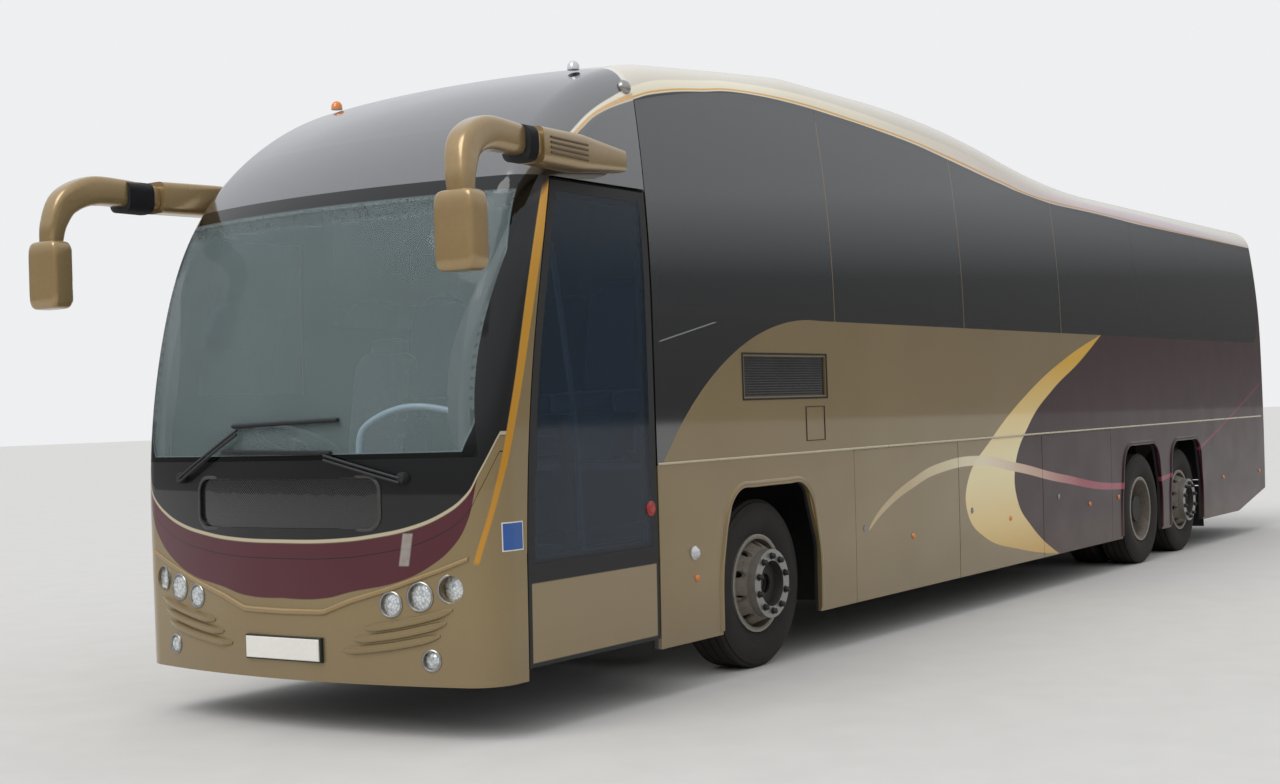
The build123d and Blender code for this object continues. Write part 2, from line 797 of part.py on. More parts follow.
for axle_x, name, end in ((-wheelbase, "drive_axle", drive_wheel_y + drive_spindle_out),
                          (-wheelbase - bogie_spread, "tag_axle", tag_wheel_y + spindle_out)):
    with BuildPart() as axle:
        with BuildSketch(Plane(origin=(at(axle_x), -end, wheel_z), z_dir=(0, 1, 0))):
            Circle(spindle_radius)
        extrude(amount=2 * end)
        with BuildSketch(Plane(origin=(at(axle_x), -axle_tube_half, wheel_z), z_dir=(0, 1, 0))):
            Circle(axle_tube_radius)
        extrude(amount=2 * axle_tube_half)
        if name == "drive_axle":
            with Locations((at(axle_x), 0, wheel_z)):
                Sphere(diff_radius)
        for side in (1, -1):
            with Locations((at(axle_x), side * rail_y, wheel_z)):
                Cylinder(spring_radius, rail_z - wheel_z, align=(Align.CENTER, Align.CENTER, Align.MIN))
    finish(axle, name)


def ring(plane, points):
    """A solid turned about the axle from (outboard, radius) points."""
    with BuildPart() as turned:
        with BuildSketch(plane):
            with BuildLine():
                Polyline(*points, close=True)
            make_face()
        revolve(axis=Axis(plane.origin, plane.x_dir))
    return turned.part


def tyre_solid(plane, centre):
    """One tyre: crowned tread, rounded shoulders and bulged walls around the rim."""
    with BuildPart() as tyre:
        with BuildSketch(plane):
            with BuildLine():
                inner = Polyline((centre - bead_half, bead_top), (centre - bead_half, bead_radius),
                                 (centre + bead_half, bead_radius), (centre + bead_half, bead_top))
                wall_out = ThreePointArc(inner @ 1,
                                         (centre + tyre_width / 2, (bead_radius + tyre_radius) / 2 - 10),
                                         (centre + tread_half, tyre_radius - shoulder))
                tread = Polyline(wall_out @ 1, (centre + tread_half - shoulder, tyre_radius),
                                 (centre - tread_half + shoulder, tyre_radius),
                                 (centre - tread_half, tyre_radius - shoulder))
                ThreePointArc(tread @ 1,
                              (centre - tyre_width / 2, (bead_radius + tyre_radius) / 2 - 10),
                              inner @ 0)
            make_face()
        revolve(axis=Axis(plane.origin, plane.x_dir))
    return tyre.part


def rim_solid(plane, centre, disc):
    """One rim with its disc: disc is the side of the rim's centre that the hub face lies on."""
    barrel = [(centre - bead_half - rim_lip, rim_flange_radius), (centre - bead_half, rim_flange_radius),
              (centre - bead_half, bead_radius - pin_gap), (centre + bead_half, bead_radius - pin_gap),
              (centre + bead_half, rim_flange_radius), (centre + bead_half + rim_lip, rim_flange_radius),
              (centre + bead_half + rim_lip, rim_inner_radius),
              (centre - bead_half - rim_lip, rim_inner_radius)]
    dish = [(centre + disc * y, r) for y, r in disc_points]
    with BuildPart() as rim:
        add(ring(plane, barrel))
        add(ring(plane, dish))
        with BuildSketch(Plane(origin=plane.origin, z_dir=plane.x_dir)):
            with PolarLocations(hand_hole_pitch, hand_hole_count):
                Circle(hand_hole_radius)
        extrude(amount=2 * half_width, mode=Mode.SUBTRACT)
    return rim.part


for axle, x, wheel_y, twin in (("front", 0, front_wheel_y, False),
                               ("drive", -wheelbase, drive_wheel_y, True),
                               ("tag", -wheelbase - bogie_spread, tag_wheel_y, False)):
    for side, name in ((1, "left"), (-1, "right")):
        plane = axle_plane(x, side)
        with BuildPart() as rim:
            add(rim_solid(plane, wheel_y, -1 if twin else 1))
            if twin:
                add(rim_solid(plane, wheel_y - twin_spacing, 1))
                add(ring(plane, [(wheel_y + a, r) for a, r in drive_hub_points]))
            else:
                add(ring(plane, [(wheel_y + a, r) for a, r in hub_points]))
        finish(rim, f"wheel_{axle}_{name}")
        with BuildPart() as tyre:
            add(tyre_solid(plane, wheel_y))
            if twin:
                add(tyre_solid(plane, wheel_y - twin_spacing))
        finish(tyre, f"tyre_{axle}_{name}")


# Passenger door: a framed glass leaf carried by two cranked arms on an upright post
leaf_field = entrance_field(door_low_z, door_top_z, door_back, joint_gap)
pane_field = entrance_field(door_pane_low_z, door_top_z, door_back, door_border)
pane_cut = side_cut(pane_field, 1)
pivot_x = at(arm_post_x)
crank_x = pivot_x - arm_reach
crank_y = arm_post_y - arm_drop

with BuildPart() as door_leaf:
    add(skin)
    add(side_cut(leaf_field, 1), mode=Mode.INTERSECT)
    add(glazing.part & pane_cut, mode=Mode.SUBTRACT)
    with BuildSketch(Plane.XZ.offset(-half_width / 2)):
        add(pane_field)
        offset(amount=-door_frame)
    extrude(amount=-half_width, mode=Mode.SUBTRACT)
    with BuildSketch(Plane.XZ.offset(-(half_width - wall - door_rail))):
        with Locations((crank_x, door_low_z + door_border)):
            Rectangle(door_frame, arm_z[-1] - door_low_z, align=(Align.CENTER, Align.MIN))
    extrude(amount=-(door_rail + 1))
    for z in arm_z:
        for low in (z - arm_tall, z + arm_tall / 2 + pin_gap):
            with Locations((crank_x, half_width - wall - door_rail, low)):
                Box(2 * arm_half, half_width - wall - door_rail - crank_y, arm_tall / 2 - pin_gap,
                    align=(Align.CENTER, Align.MAX, Align.MIN))
            with Locations((crank_x, crank_y, low)):
                Cylinder(arm_half, arm_tall / 2 - pin_gap, align=(Align.CENTER, Align.CENTER, Align.MIN))
        with Locations((crank_x, crank_y, z - arm_tall)):
            Cylinder(arm_pin, 2 * arm_tall - pin_gap, align=(Align.CENTER, Align.CENTER, Align.MIN))
finish(door_leaf, "door_leaf")

with BuildPart() as door_glass:
    add(glazing)
    add(pane_cut, mode=Mode.INTERSECT)
finish(door_glass, "door_glass")

with BuildPart() as door_arm:
    with Locations((pivot_x, arm_post_y, step_low_z + pin_gap)):
        Cylinder(arm_post_radius, arm_post_top_z - step_low_z, align=(Align.CENTER, Align.CENTER, Align.MIN))
    for z in arm_z:
        for start, stop in (((pivot_x, arm_post_y), (pivot_x - elbow_x, arm_post_y - elbow_y)),
                            ((pivot_x - elbow_x, arm_post_y - elbow_y), (crank_x, crank_y))):
            with BuildSketch(Plane.XY.offset(z - arm_tall / 2)):
                run = Vector(*stop) - Vector(*start)
                with Locations(((start[0] + stop[0]) / 2, (start[1] + stop[1]) / 2)):
                    SlotCenterToCenter(run.length, 2 * arm_half,
                                       rotation=degrees(atan2(run.Y, run.X)))
            extrude(amount=arm_tall)
        with Locations((crank_x, crank_y, z)):
            Cylinder(arm_pin + pin_gap, 2 * arm_tall, mode=Mode.SUBTRACT)
finish(door_arm, "door_arm")

# Mirrors: a root housing on the dome, an arm with its bellows, and a hanging head
for side, name in ((1, "left"), (-1, "right")):
    with BuildPart() as mirror_set:
        for back, front, y, z, deep, tall in mirror_blocks:
            with BuildSketch(Plane.YZ.offset(at(back))):
                with Locations((side * y, z)):
                    RectangleRounded(deep, tall, mirror_round)
            extrude(amount=front - back)
        with BuildSketch(Plane.XY.offset(mirror_head_low_z)):
            with Locations((at(mirror_head_x), side * mirror_head_y)):
                RectangleRounded(mirror_head_deep, mirror_head_wide, mirror_head_round)
        extrude(amount=mirror_head_top_z - mirror_head_low_z)
        add(outer_form, mode=Mode.SUBTRACT)
    finish(mirror_set, f"mirror_{name}")

# Wipers on their pivots below the windscreen
with BuildPart() as wipers:
    for side in (1, -1):
        with Locations((at(wiper_x), side * wiper_y, wiper_z)):
            Cylinder(wiper_boss, wiper_boss_long, rotation=(0, 90, 0),
                     align=(Align.CENTER, Align.CENTER, Align.MIN))
        inwards = Align.MAX if side > 0 else Align.MIN
        with Locations((at(wiper_x) + wiper_boss_long - wiper_bar, side * wiper_y, wiper_z)):
            Box(wiper_bar, wiper_arm, wiper_bar, align=(Align.MIN, inwards, Align.MIN))
        boss_end = at(wiper_x) + wiper_boss_long - wiper_bar
        with Locations((boss_end, side * (wiper_y - 60), wiper_z + wiper_bar)):
            Box(wiper_bar, wiper_blade - 60, 2 * wiper_bar, align=(Align.MIN, inwards, Align.MIN))
    add(outer_form, mode=Mode.SUBTRACT)
finish(wipers, "wipers")

# Cab and saloon furniture
with BuildPart() as dashboard:
    add(inner_form)
    with BuildSketch(Plane.XZ.offset(step_inner + pin_gap)):
        with BuildLine():
            Polyline((at(dash_back), cab_z), (at(dash_back), dash_top_z - 250),
                     (at(dash_back) + 120, dash_top_z),
                     (nose_x, dash_top_z), (nose_x, cab_z), close=True)
        make_face()
    extrude(amount=half_width, mode=Mode.INTERSECT)
finish(dashboard, "dashboard")

with BuildPart() as steering_wheel:
    tilt = Plane(origin=(at(steer_x), -steer_y, steer_z),
                 z_dir=(-sin(radians(steer_tilt)), 0, cos(radians(steer_tilt))))
    with BuildSketch(Plane(origin=tilt.origin, x_dir=tilt.y_dir, z_dir=tilt.x_dir)):
        with Locations((steer_radius, 0)):
            Circle(steer_grip)
    revolve(axis=Axis(tilt.origin, tilt.z_dir))
    with BuildSketch(tilt):
        Circle(steer_hub)
        Rectangle(2 * steer_radius, 2 * steer_grip)
    extrude(amount=steer_grip / 2, both=True)
    with BuildSketch(tilt):
        Rectangle(3 * steer_grip, 3 * steer_grip)
    extrude(amount=-steer_column)
    add(dashboard, mode=Mode.SUBTRACT)
finish(steering_wheel, "steering_wheel")


def seat_solid(x, y, base, width, back_tall):
    """A seat seen from the side: pedestal, cushion and raked back, carried across its width."""
    with BuildPart() as seat:
        with BuildSketch(Plane.XZ.offset(-(y + width / 2))):
            with BuildLine():
                Polyline(
                    (at(x) - 60, base), (at(x) + 240, base), (at(x) + 240, base + 260),
                    (at(x) + 330, base + 280), (at(x) + 330, base + 420), (at(x), base + 400),
                    (at(x) - 160, base + back_tall), (at(x) - 260, base + back_tall),
                    (at(x) - 130, base + 280), (at(x) - 60, base + 260), close=True)
            make_face()
        extrude(amount=width)
    return seat.part


with BuildPart() as driver_seat:
    add(seat_solid(driver_x, -driver_y, cab_z + pin_gap, driver_width, 1150))
finish(driver_seat, "driver_seat")

with BuildPart() as passenger_seats:
    for row in range(seat_rows):
        for side in (1, -1):
            add(seat_solid(seat_front_x - row * seat_pitch, side * seat_y, floor_z + pin_gap,
                           seat_width, 1120))
finish(passenger_seats, "passenger_seats")
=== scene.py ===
import math

import bmesh
import bpy
import numpy as np
from mathutils import Matrix, Vector


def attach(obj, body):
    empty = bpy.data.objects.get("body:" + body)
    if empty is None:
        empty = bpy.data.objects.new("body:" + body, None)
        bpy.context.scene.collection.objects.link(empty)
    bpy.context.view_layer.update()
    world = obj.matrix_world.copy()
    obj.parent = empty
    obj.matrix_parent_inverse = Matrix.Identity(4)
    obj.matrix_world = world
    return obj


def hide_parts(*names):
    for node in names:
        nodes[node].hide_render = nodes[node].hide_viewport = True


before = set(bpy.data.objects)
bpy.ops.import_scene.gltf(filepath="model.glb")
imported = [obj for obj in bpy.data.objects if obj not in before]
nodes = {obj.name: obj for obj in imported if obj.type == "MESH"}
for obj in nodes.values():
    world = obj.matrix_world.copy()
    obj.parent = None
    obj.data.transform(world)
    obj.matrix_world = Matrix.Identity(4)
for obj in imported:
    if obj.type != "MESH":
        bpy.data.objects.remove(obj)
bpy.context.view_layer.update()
scene = bpy.context.scene

# Stations of the coach, in metres: painted shapes are placed from the front axle
axleX = 4.220
wheelZ = 0.515
axles = {"front": (0.0, 1.021, 0.228), "drive": (-7.05, 1.110, -0.098), "tag": (-8.45, 1.055, 0.228)}


# Shader nets: values join with + - * / and each net ends in one Principled shader
class Value:
    def __init__(self, net, socket):
        self.net = net
        self.socket = socket

    def math(self, operation, *others, clamp=False):
        node = self.net.new("ShaderNodeMath", operation=operation, use_clamp=clamp)
        for place, item in enumerate((self,) + others):
            self.net.join(item, node.inputs[place])
        return Value(self.net, node.outputs[0])

    def __add__(self, other):
        return self.math("ADD", other)

    def __sub__(self, other):
        return self.math("SUBTRACT", other)

    def __mul__(self, other):
        return self.math("MULTIPLY", other)

    def __truediv__(self, other):
        return self.math("DIVIDE", other)

    def __radd__(self, other):
        return self.math("ADD", other)

    def __rmul__(self, other):
        return self.math("MULTIPLY", other)

    def __rsub__(self, other):
        return (self * -1.0).math("ADD", other)

    def over(self, edge, soft=0.002):
        # 0 below the edge, 1 above it, with a short ramp between
        return ((self - edge) * (0.5 / soft) + 0.5).math("MULTIPLY", 1.0, clamp=True)

    def under(self, edge, soft=0.002):
        return 1.0 - self.over(edge, soft)

    def within(self, low, high, soft=0.002):
        return self.over(low, soft) * self.under(high, soft)

    def curve(self, points):
        # a smooth curve through (input, output) points
        ins = [p[0] for p in points]
        outs = [p[1] for p in points]
        low, high = min(outs), max(outs)
        node = self.net.new("ShaderNodeFloatCurve")
        line = node.mapping.curves[0]
        places = [((a - ins[0]) / (ins[-1] - ins[0]), (b - low) / (high - low)) for a, b in points]
        line.points[0].location = places[0]
        line.points[1].location = places[-1]
        for place in places[1:-1]:
            line.points.new(*place)
        node.mapping.update()
        self.net.join(((self - ins[0]) / (ins[-1] - ins[0])).math("MULTIPLY", 1.0, clamp=True),
                      node.inputs["Value"])
        return Value(self.net, node.outputs[0]) * (high - low) + low


def linear(code):
    # hex colour to the linear values that a shader wants
    parts = [int(code[i:i + 2], 16) / 255 for i in (1, 3, 5)]
    return [p / 12.92 if p < 0.04045 else ((p + 0.055) / 1.055) ** 2.4 for p in parts] + [1.0]


class Net:
    def __init__(self, name, **constants):
        self.material = bpy.data.materials.new(name)
        self.material.use_nodes = True
        self.tree = self.material.node_tree
        self.shader = self.tree.nodes["Principled BSDF"]
        spot = self.new("ShaderNodeTexCoord")
        parts = self.new("ShaderNodeSeparateXYZ")
        self.tree.links.new(spot.outputs["Object"], parts.inputs[0])
        self.spot = spot.outputs["Object"]
        self.x = Value(self, parts.outputs["X"]) - axleX
        self.y = Value(self, parts.outputs["Y"])
        self.z = Value(self, parts.outputs["Z"])
        for key, amount in constants.items():
            self.shader.inputs[key.replace("_", " ")].default_value = amount

    def new(self, kind, **settings):
        node = self.tree.nodes.new(kind)
        for key, setting in settings.items():
            setattr(node, key, setting)
        return node

    def join(self, item, socket):
        if isinstance(item, Value):
            self.tree.links.new(item.socket, socket)
        else:
            socket.default_value = item

    def noise(self, scale, detail=3.0, stretch=(1, 1, 1)):
        place = self.new("ShaderNodeMapping")
        place.inputs["Scale"].default_value = stretch
        grain = self.new("ShaderNodeTexNoise")
        grain.inputs["Scale"].default_value = scale
        grain.inputs["Detail"].default_value = detail
        self.tree.links.new(self.spot, place.inputs[0])
        self.tree.links.new(place.outputs[0], grain.inputs["Vector"])
        return Value(self, grain.outputs["Fac"])

    def cells(self, scale):
        node = self.new("ShaderNodeTexVoronoi")
        node.inputs["Scale"].default_value = scale
        self.tree.links.new(self.spot, node.inputs["Vector"])
        return Value(self, node.outputs["Distance"])

    def mix(self, share, one, other):
        node = self.new("ShaderNodeMix", data_type="RGBA")
        self.join(share, node.inputs[0])
        for item, place in ((one, 6), (other, 7)):
            self.join(linear(item) if isinstance(item, str) else item, node.inputs[place])
        return Value(self, node.outputs[2])

    def paint(self, base, rough=None, coat=None, metal=None, alpha=None):
        for item, name in ((base, "Base Color"), (rough, "Roughness"), (coat, "Coat Weight"),
                           (metal, "Metallic"),
                           (alpha, "Alpha")):
            if item is not None:
                self.join(item, self.shader.inputs[name])
        return self

    def bump(self, height, distance, strength=1.0):
        node = self.new("ShaderNodeBump")
        node.inputs["Distance"].default_value = distance
        node.inputs["Strength"].default_value = strength
        self.join(height, node.inputs["Height"])
        self.tree.links.new(node.outputs[0], self.shader.inputs["Normal"])
        return self


# Painted shapes on the body, read from the photograph: x from the front axle, z above the road
livery = {
    "crescentOuter": [(0.28, -4.84), (0.39, -3.97), (0.54, -3.27), (0.73, -2.96), (0.99, -2.97),
                      (1.28, -3.43), (1.62, -4.19), (1.89, -5.00), (2.14, -6.03)],
    "crescentInner": [(0.28, -4.84), (0.57, -4.20), (0.78, -3.94), (1.03, -3.90), (1.38, -4.23),
                      (1.66, -4.79), (1.89, -5.44), (2.14, -6.03)],
    "ribbonMiddle": [(-11.6, 1.75), (-10.1, 1.32), (-8.96, 1.03), (-7.76, 0.775), (-6.47, 0.76),
                     (-4.95, 0.905), (-3.9, 1.05), (-3.04, 1.135), (-2.5, 1.11), (-2.0, 1.02),
                     (-1.6, 0.90), (-1.3, 0.745)],
    "ribbonHalf": [(-11.6, 0.008), (-8.96, 0.016), (-6.47, 0.028), (-4.95, 0.035), (-2.6, 0.036),
                   (-1.3, 0.006)],
    "lean": [(1.13, 0.0), (1.5, -0.017), (1.9, -0.074), (2.38, -0.198), (2.85, -0.433)],
    "pillarFront": [(0.6, 22), (0.89, 30.4), (1.19, 41.4), (1.53, 50.4), (1.92, 55.9), (2.37, 56.5),
                    (2.83, 49.1)],
    "pillarBack": [(0.6, 24), (0.89, 33.7), (1.19, 44.9), (1.52, 55.6), (1.92, 63.3), (2.38, 65.3),
                   (2.81, 57.2)],
    "lining": [(0.2, 1.236), (1.28, 1.248), (2.12, 1.248), (2.8, 1.224), (3.3, 1.175)],
    "screenEdge": [(1.40, 22.5), (1.44, 24.6), (1.68, 33.9), (2.17, 39.9), (2.68, 35.2), (2.83, 33.0)],
    "bandTop": [(0.0, 0.975), (0.4, 0.984), (0.6, 1.005), (0.82, 1.045), (0.99, 1.106), (1.12, 1.193),
                (1.18, 1.298), (1.25, 1.5)],
    "bandLow": [(0.0, 0.694), (0.30, 0.702), (0.45, 0.735), (0.75, 0.793), (0.92, 0.866),
                (1.06, 0.974), (1.134, 1.095), (1.18, 1.298), (1.25, 1.5)],
    "windowTop": [(-11.3, 3.206), (-9.4, 3.218), (-7.74, 3.221), (-6.3, 3.243), (-4.98, 3.248),
                  (-3.98, 3.322), (-3.04, 3.414), (-2.19, 3.49), (-1.42, 3.522), (-0.72, 3.544),
                  (-0.2, 3.538), (0.53, 3.468), (1.04, 3.386), (1.26, 3.327), (1.62, 3.207),
                  (1.80, 3.104), (1.95, 3.0)],
    "roofEdge": [(-11.3, 3.29), (-9.46, 3.307), (-7.79, 3.335), (-6.35, 3.335), (-5.02, 3.346),
                 (-4.02, 3.424), (-3.08, 3.528), (-2.23, 3.582), (-1.45, 3.617), (-0.75, 3.628),
                 (0.03, 3.599), (0.51, 3.544), (0.96, 3.481), (1.18, 3.427), (1.50, 3.304),
                 (1.71, 3.201), (1.87, 3.096), (2.0, 3.0)],
}
tones = {
    "gold": "#93805d", "goldDeep": "#84724f", "maroon": "#34101b", "maroonDeep": "#2a0b15",
    "yellow": "#dfae35", "pale": "#efe6b8", "burgundy": "#4a101f", "black": "#0c0d0f",
    "stripe": "#e3a83c", "cream": "#f0e8cf",
    "mauve": "#cdbcc0", "roof": "#d9d2c4", "dust": "#7d6f5c", "trim": "#141415",
}


def aroundCorner(net):
    # angle round the front pillar, from straight ahead, about an upright line that leans with the nose
    aside = net.y.math("ABSOLUTE") - 0.9
    ahead = net.x - net.z.curve(livery["lean"]) - 2.3
    return aside.math("ARCTAN2", ahead) * 57.2958


def bodyPaint(name, roofed=False):
    net = Net(name, Coat_Roughness=0.04, Coat_IOR=1.4, IOR=1.35)
    x, y, z = net.x, net.y, net.z
    flake = net.noise(900.0, 1.0)
    cloud = net.noise(1.3, 2.0)
    base = net.mix(cloud, tones["goldDeep"], tones["gold"])
    base = net.mix(flake.over(0.62, 0.05) * 0.35, base, "#b9a175")
    if roofed:
        low = x.curve(livery["windowTop"])
        high = x.curve(livery["roofEdge"])
        base = net.mix(net.noise(5.0, 4.0) * 0.4, tones["roof"], "#c7bfae")
        tail = x.within(-11.9, -4.0, 2.5)
        stripe = net.mix(tail, tones["cream"], tones["mauve"])
        edge = net.mix(tail, tones["stripe"], "#c99a62")
        rising = (z - low) / (high - low)
        stripe = net.mix(rising.within(0.16, 0.30, 0.03), stripe, edge)
        base = net.mix(z.under(high, 0.004), base, stripe)
        base = net.mix(z.under(low + 0.004, 0.003) * z.over(2.5), base, tones["black"])
        metal = None
    else:
        inner = z.curve(livery["crescentInner"])
        outer = z.curve(livery["crescentOuter"])
        maroon = net.mix(cloud, tones["maroonDeep"], tones["maroon"])
        behind = x.under(inner, 0.004)
        crescent = x.under(outer, 0.004) * x.over(inner, 0.004)
        middle = z.within(0.72, 1.45, 0.45)
        yellow = net.mix(middle, tones["yellow"], tones["pale"])
        base = net.mix(behind, base, maroon)
        base = net.mix(crescent, base, yellow)
        ribbon = (z - x.curve(livery["ribbonMiddle"])).math("ABSOLUTE").under(
            x.curve(livery["ribbonHalf"]), 0.003)
        ribbon = ribbon * x.within(-11.4, -1.30, 0.01)
        blush = net.mix(x.under(-4.2, 1.2), net.mix(x.under(-2.6, 0.7), "#c5b088", "#f1e6c4"), "#a04e5c")
        blush = net.mix(x.under(-8.0, 1.6), blush, "#6d1f3a")
        base = net.mix(ribbon, base, blush)
        across = y.math("ABSOLUTE")
        front = x.over(2.05, 0.01)
        bandTop = across.curve(livery["bandTop"])
        bandLow = across.curve(livery["bandLow"])
        round = aroundCorner(net)
        pillarFront = z.curve(livery["pillarFront"])
        pillarBack = z.curve(livery["pillarBack"])
        ahead = round.under(pillarFront, 0.5)
        glossy = front * ahead * z.over(bandTop, 0.003)
        band = front * ahead * z.within(bandLow, bandTop, 0.003)
        trimLine = front * ahead * (z - bandTop - 0.012).math("ABSOLUTE").under(0.009, 0.002)
        seam = front * ahead * (z - bandTop + 0.077).math("ABSOLUTE").under(0.003, 0.001)
        stripe = front * round.under(pillarBack, 0.4) * round.over(pillarFront, 0.4) * z.over(0.88, 0.01)
        # a thin pale grey streak down the burgundy band, broken up by noise: painted highlight, a reflection
        # on the gloss
        bandHighlight = band * (y - 0.63 - z * 0.17).math("ABSOLUTE").under(0.028, 0.004) * z.within(0.87, 1.03, 0.004)
        bandHighlight = bandHighlight * (0.55 + net.noise(38.0, 4.0) * 0.6)
        base = net.mix(glossy, base, tones["black"])
        base = net.mix(band, base, tones["burgundy"])
        base = net.mix(trimLine, base, "#b6a98f")
        base = net.mix(seam, base, "#1c0509")
        base = net.mix(bandHighlight, base, "#9b938b")
        base = net.mix(stripe, base, net.mix(z.over(1.9, 0.7), "#c98f2c", tones["stripe"]))
        metal = (1.0 - behind) * (1.0 - crescent) * (1.0 - glossy) * (1.0 - band) * 0.45
        grime = (0.62 - z).math("MULTIPLY", 2.4, clamp=True) * (0.35 + net.noise(7.0, 5.0, (0.6, 1, 2)) * 0.6)
        base = net.mix(grime * 0.45, base, tones["dust"])
        # the lining: faces further in than the skin, round the pillars too
        ahead = x - z.curve(livery["lean"])
        reach = ((ahead - 2.548) * (ahead - 2.548) + (across - 1.06) * (across - 1.06)).math("SQRT")
        within = across.under(z.curve(livery["lining"]), 0.004) * ahead.under(2.54, 0.004)
        pillar = reach.under(0.185, 0.004) * ahead.over(2.54, 0.004) * across.over(1.06, 0.004)
        base = net.mix(within.math("MAXIMUM", pillar), base, "#3b3b3d")
    film = net.noise(3.0, 4.0)
    shine = 0.9 - film * 0.3 if roofed else (0.9 - film * 0.3) * (1.0 - behind * 0.7)
    net.paint(base, rough=0.26 + film * 0.16, coat=shine, metal=metal)
    net.bump(net.noise(160.0, 2.0), 0.0004, 0.12)
    return net.material


def plain(name, light, dark, rough, scale, height, metallic=0.0, coat=0.0, swing=0.12, stretch=(1, 1, 1)):
    net = Net(name, Metallic=metallic, Coat_Weight=coat)
    grain = net.noise(scale, 4.0, stretch)
    patch = net.noise(scale * 0.07, 3.0)
    net.paint(net.mix(grain * 0.6 + patch * 0.4, dark, light), rough=rough + (patch - 0.5) * swing)
    net.bump(grain, height, 0.5)
    return net.material


def glassSheet(name, tint, alpha, border=None):
    net = Net(name, IOR=1.5 if border in ("screen", "door") else 2.3, Specular_IOR_Level=0.5)
    film = net.noise(2.0, 4.0)
    see = alpha + film * 0.04
    base = net.mix(film * 0.5, tint, "#0e1012")
    if border == "screen":
        # the printed black edge: broad beside the pillars and along the top
        x, y, z = net.x, net.y, net.z
        side = aroundCorner(net).over(z.curve(livery["screenEdge"]), 0.8)
        edge = side.math("MAXIMUM", z.over(2.73, 0.015)).math("MAXIMUM", z.under(1.43, 0.004))
        dots = net.cells(62.0).under(0.30, 0.03) * z.within(2.64, 2.75, 0.02)
        edge = edge.math("MAXIMUM", dots)
        base = net.mix(edge, tint, "#08090a")
        see = edge * (1.0 - alpha) + alpha + film * 0.05
    if border == "side":
        x, z = net.x, net.z
        rail = (z - x.curve(livery["windowTop"]) + 0.03).over(0.0, 0.004)
        # a thin pale grey diagonal line on the dark glass: painted reflection
        line = (z - 1.98 - (x - 1.2) * -0.20).math("ABSOLUTE").under(0.004, 0.001) * x.within(-0.6, 1.2, 0.02)
        base = net.mix(rail, base, "#060607")
        base = net.mix(line * z.under(2.1), base, "#8f9193")
    if border == "door":
        z = net.z
        base = net.mix(z.under(0.86, 0.02), tint, "#0b0c0d")
    net.paint(base, rough=0.03 + film * 0.03, alpha=see)
    return net.material


print("materials: body, glass, trim")
paint = bodyPaint("bodyPaint")
roofPaint = bodyPaint("roofPaint", roofed=True)


def domeShade():
    net = Net("domeGloss", Coat_Roughness=0.02, IOR=2.5)
    x, y, z = net.x, net.y, net.z
    low = x.curve(livery["windowTop"])
    high = x.curve(livery["roofEdge"])
    side = y.math("ABSOLUTE").over(0.86, 0.02)
    stripe = side * z.under(high, 0.004) * z.over(low, 0.004) * x.under(1.93, 0.004)
    beige = x.under(1.34 - (z - 3.3) * 0.18, 0.004) * z.over(high, 0.004)
    film = net.noise(2.5, 4.0)
    base = net.mix(film, "#1b1d21", "#25282d")
    base = net.mix(beige, base, tones["roof"])
    rising = (z - low) / (high - low)
    base = net.mix(stripe, base, net.mix(rising.within(0.10, 0.55, 0.06), tones["cream"], tones["stripe"]))
    net.paint(base, rough=0.10 + film * 0.08, coat=0.9 - film * 0.2)
    net.bump(net.noise(90.0, 2.0), 0.0003, 0.1)
    return net.material


def tyreShade():
    # radius from the nearest axle tells tread from side wall
    net = Net("tyreRubber", Specular_IOR_Level=0.35)
    x, y, z = net.x, net.y, net.z
    near = None
    for station, _, _ in axles.values():
        reach = ((x - station) * (x - station) + (z - wheelZ) * (z - wheelZ)).math("SQRT")
        near = reach if near is None else near.math("MINIMUM", reach)
    tread = near.over(0.497, 0.003)
    groove = (y.math("ABSOLUTE") * 105.0).math("SINE").over(0.72, 0.12)
    lug = ((z - wheelZ) * 150.0 + y * 30.0).math("SINE").over(0.80, 0.12)
    ringed = (near * 520.0).math("SINE") * near.within(0.335, 0.372, 0.004)
    rib = near.within(0.455, 0.461, 0.001) + near.within(0.305, 0.312, 0.001)
    height = 0.5 - tread * (groove.math("MAXIMUM", lug * 0.5)) + ringed * 0.12 + rib * 0.35
    grain = net.noise(140.0, 3.0)
    dusty = net.noise(9.0, 4.0)
    base = net.mix(dusty * 0.75, "#161617", "#3d3731")
    # the tread grooves near black: painted shade in the grooves
    base = net.mix(tread * groove, base, "#0b0b0b")
    net.paint(base, rough=0.72 + dusty * 0.18)
    net.bump(height + grain * 0.05, 0.006, 0.8)
    return net.material


def wheelShade():
    net = Net("wheelPaint", Specular_IOR_Level=0.5)
    x, y, z = net.x, net.y, net.z
    near = None
    for station, _, _ in axles.values():
        reach = ((x - station) * (x - station) + (z - wheelZ) * (z - wheelZ)).math("SQRT")
        near = reach if near is None else near.math("MINIMUM", reach)
    dirt = net.noise(16.0, 5.0)
    base = net.mix(dirt, "#5f564b", "#8b8478")
    edge = near.over(0.286, 0.003)
    ring = near.within(0.139, 0.209, 0.002)
    base = net.mix(edge, base, "#9b968e")
    base = net.mix(ring, base, "#9a9a98")
    base = net.mix(near.under(0.139, 0.002), base, "#2a2623")
    scuff = net.noise(60.0, 3.0).over(0.62, 0.05) * 0.5
    base = net.mix(scuff * (1.0 - ring), base, "#4a4038")
    net.paint(base, rough=0.58 - ring * 0.25 + dirt * 0.12, metal=ring * 0.85 + edge * 0.4)
    net.bump(dirt, 0.0012, 0.4)
    return net.material


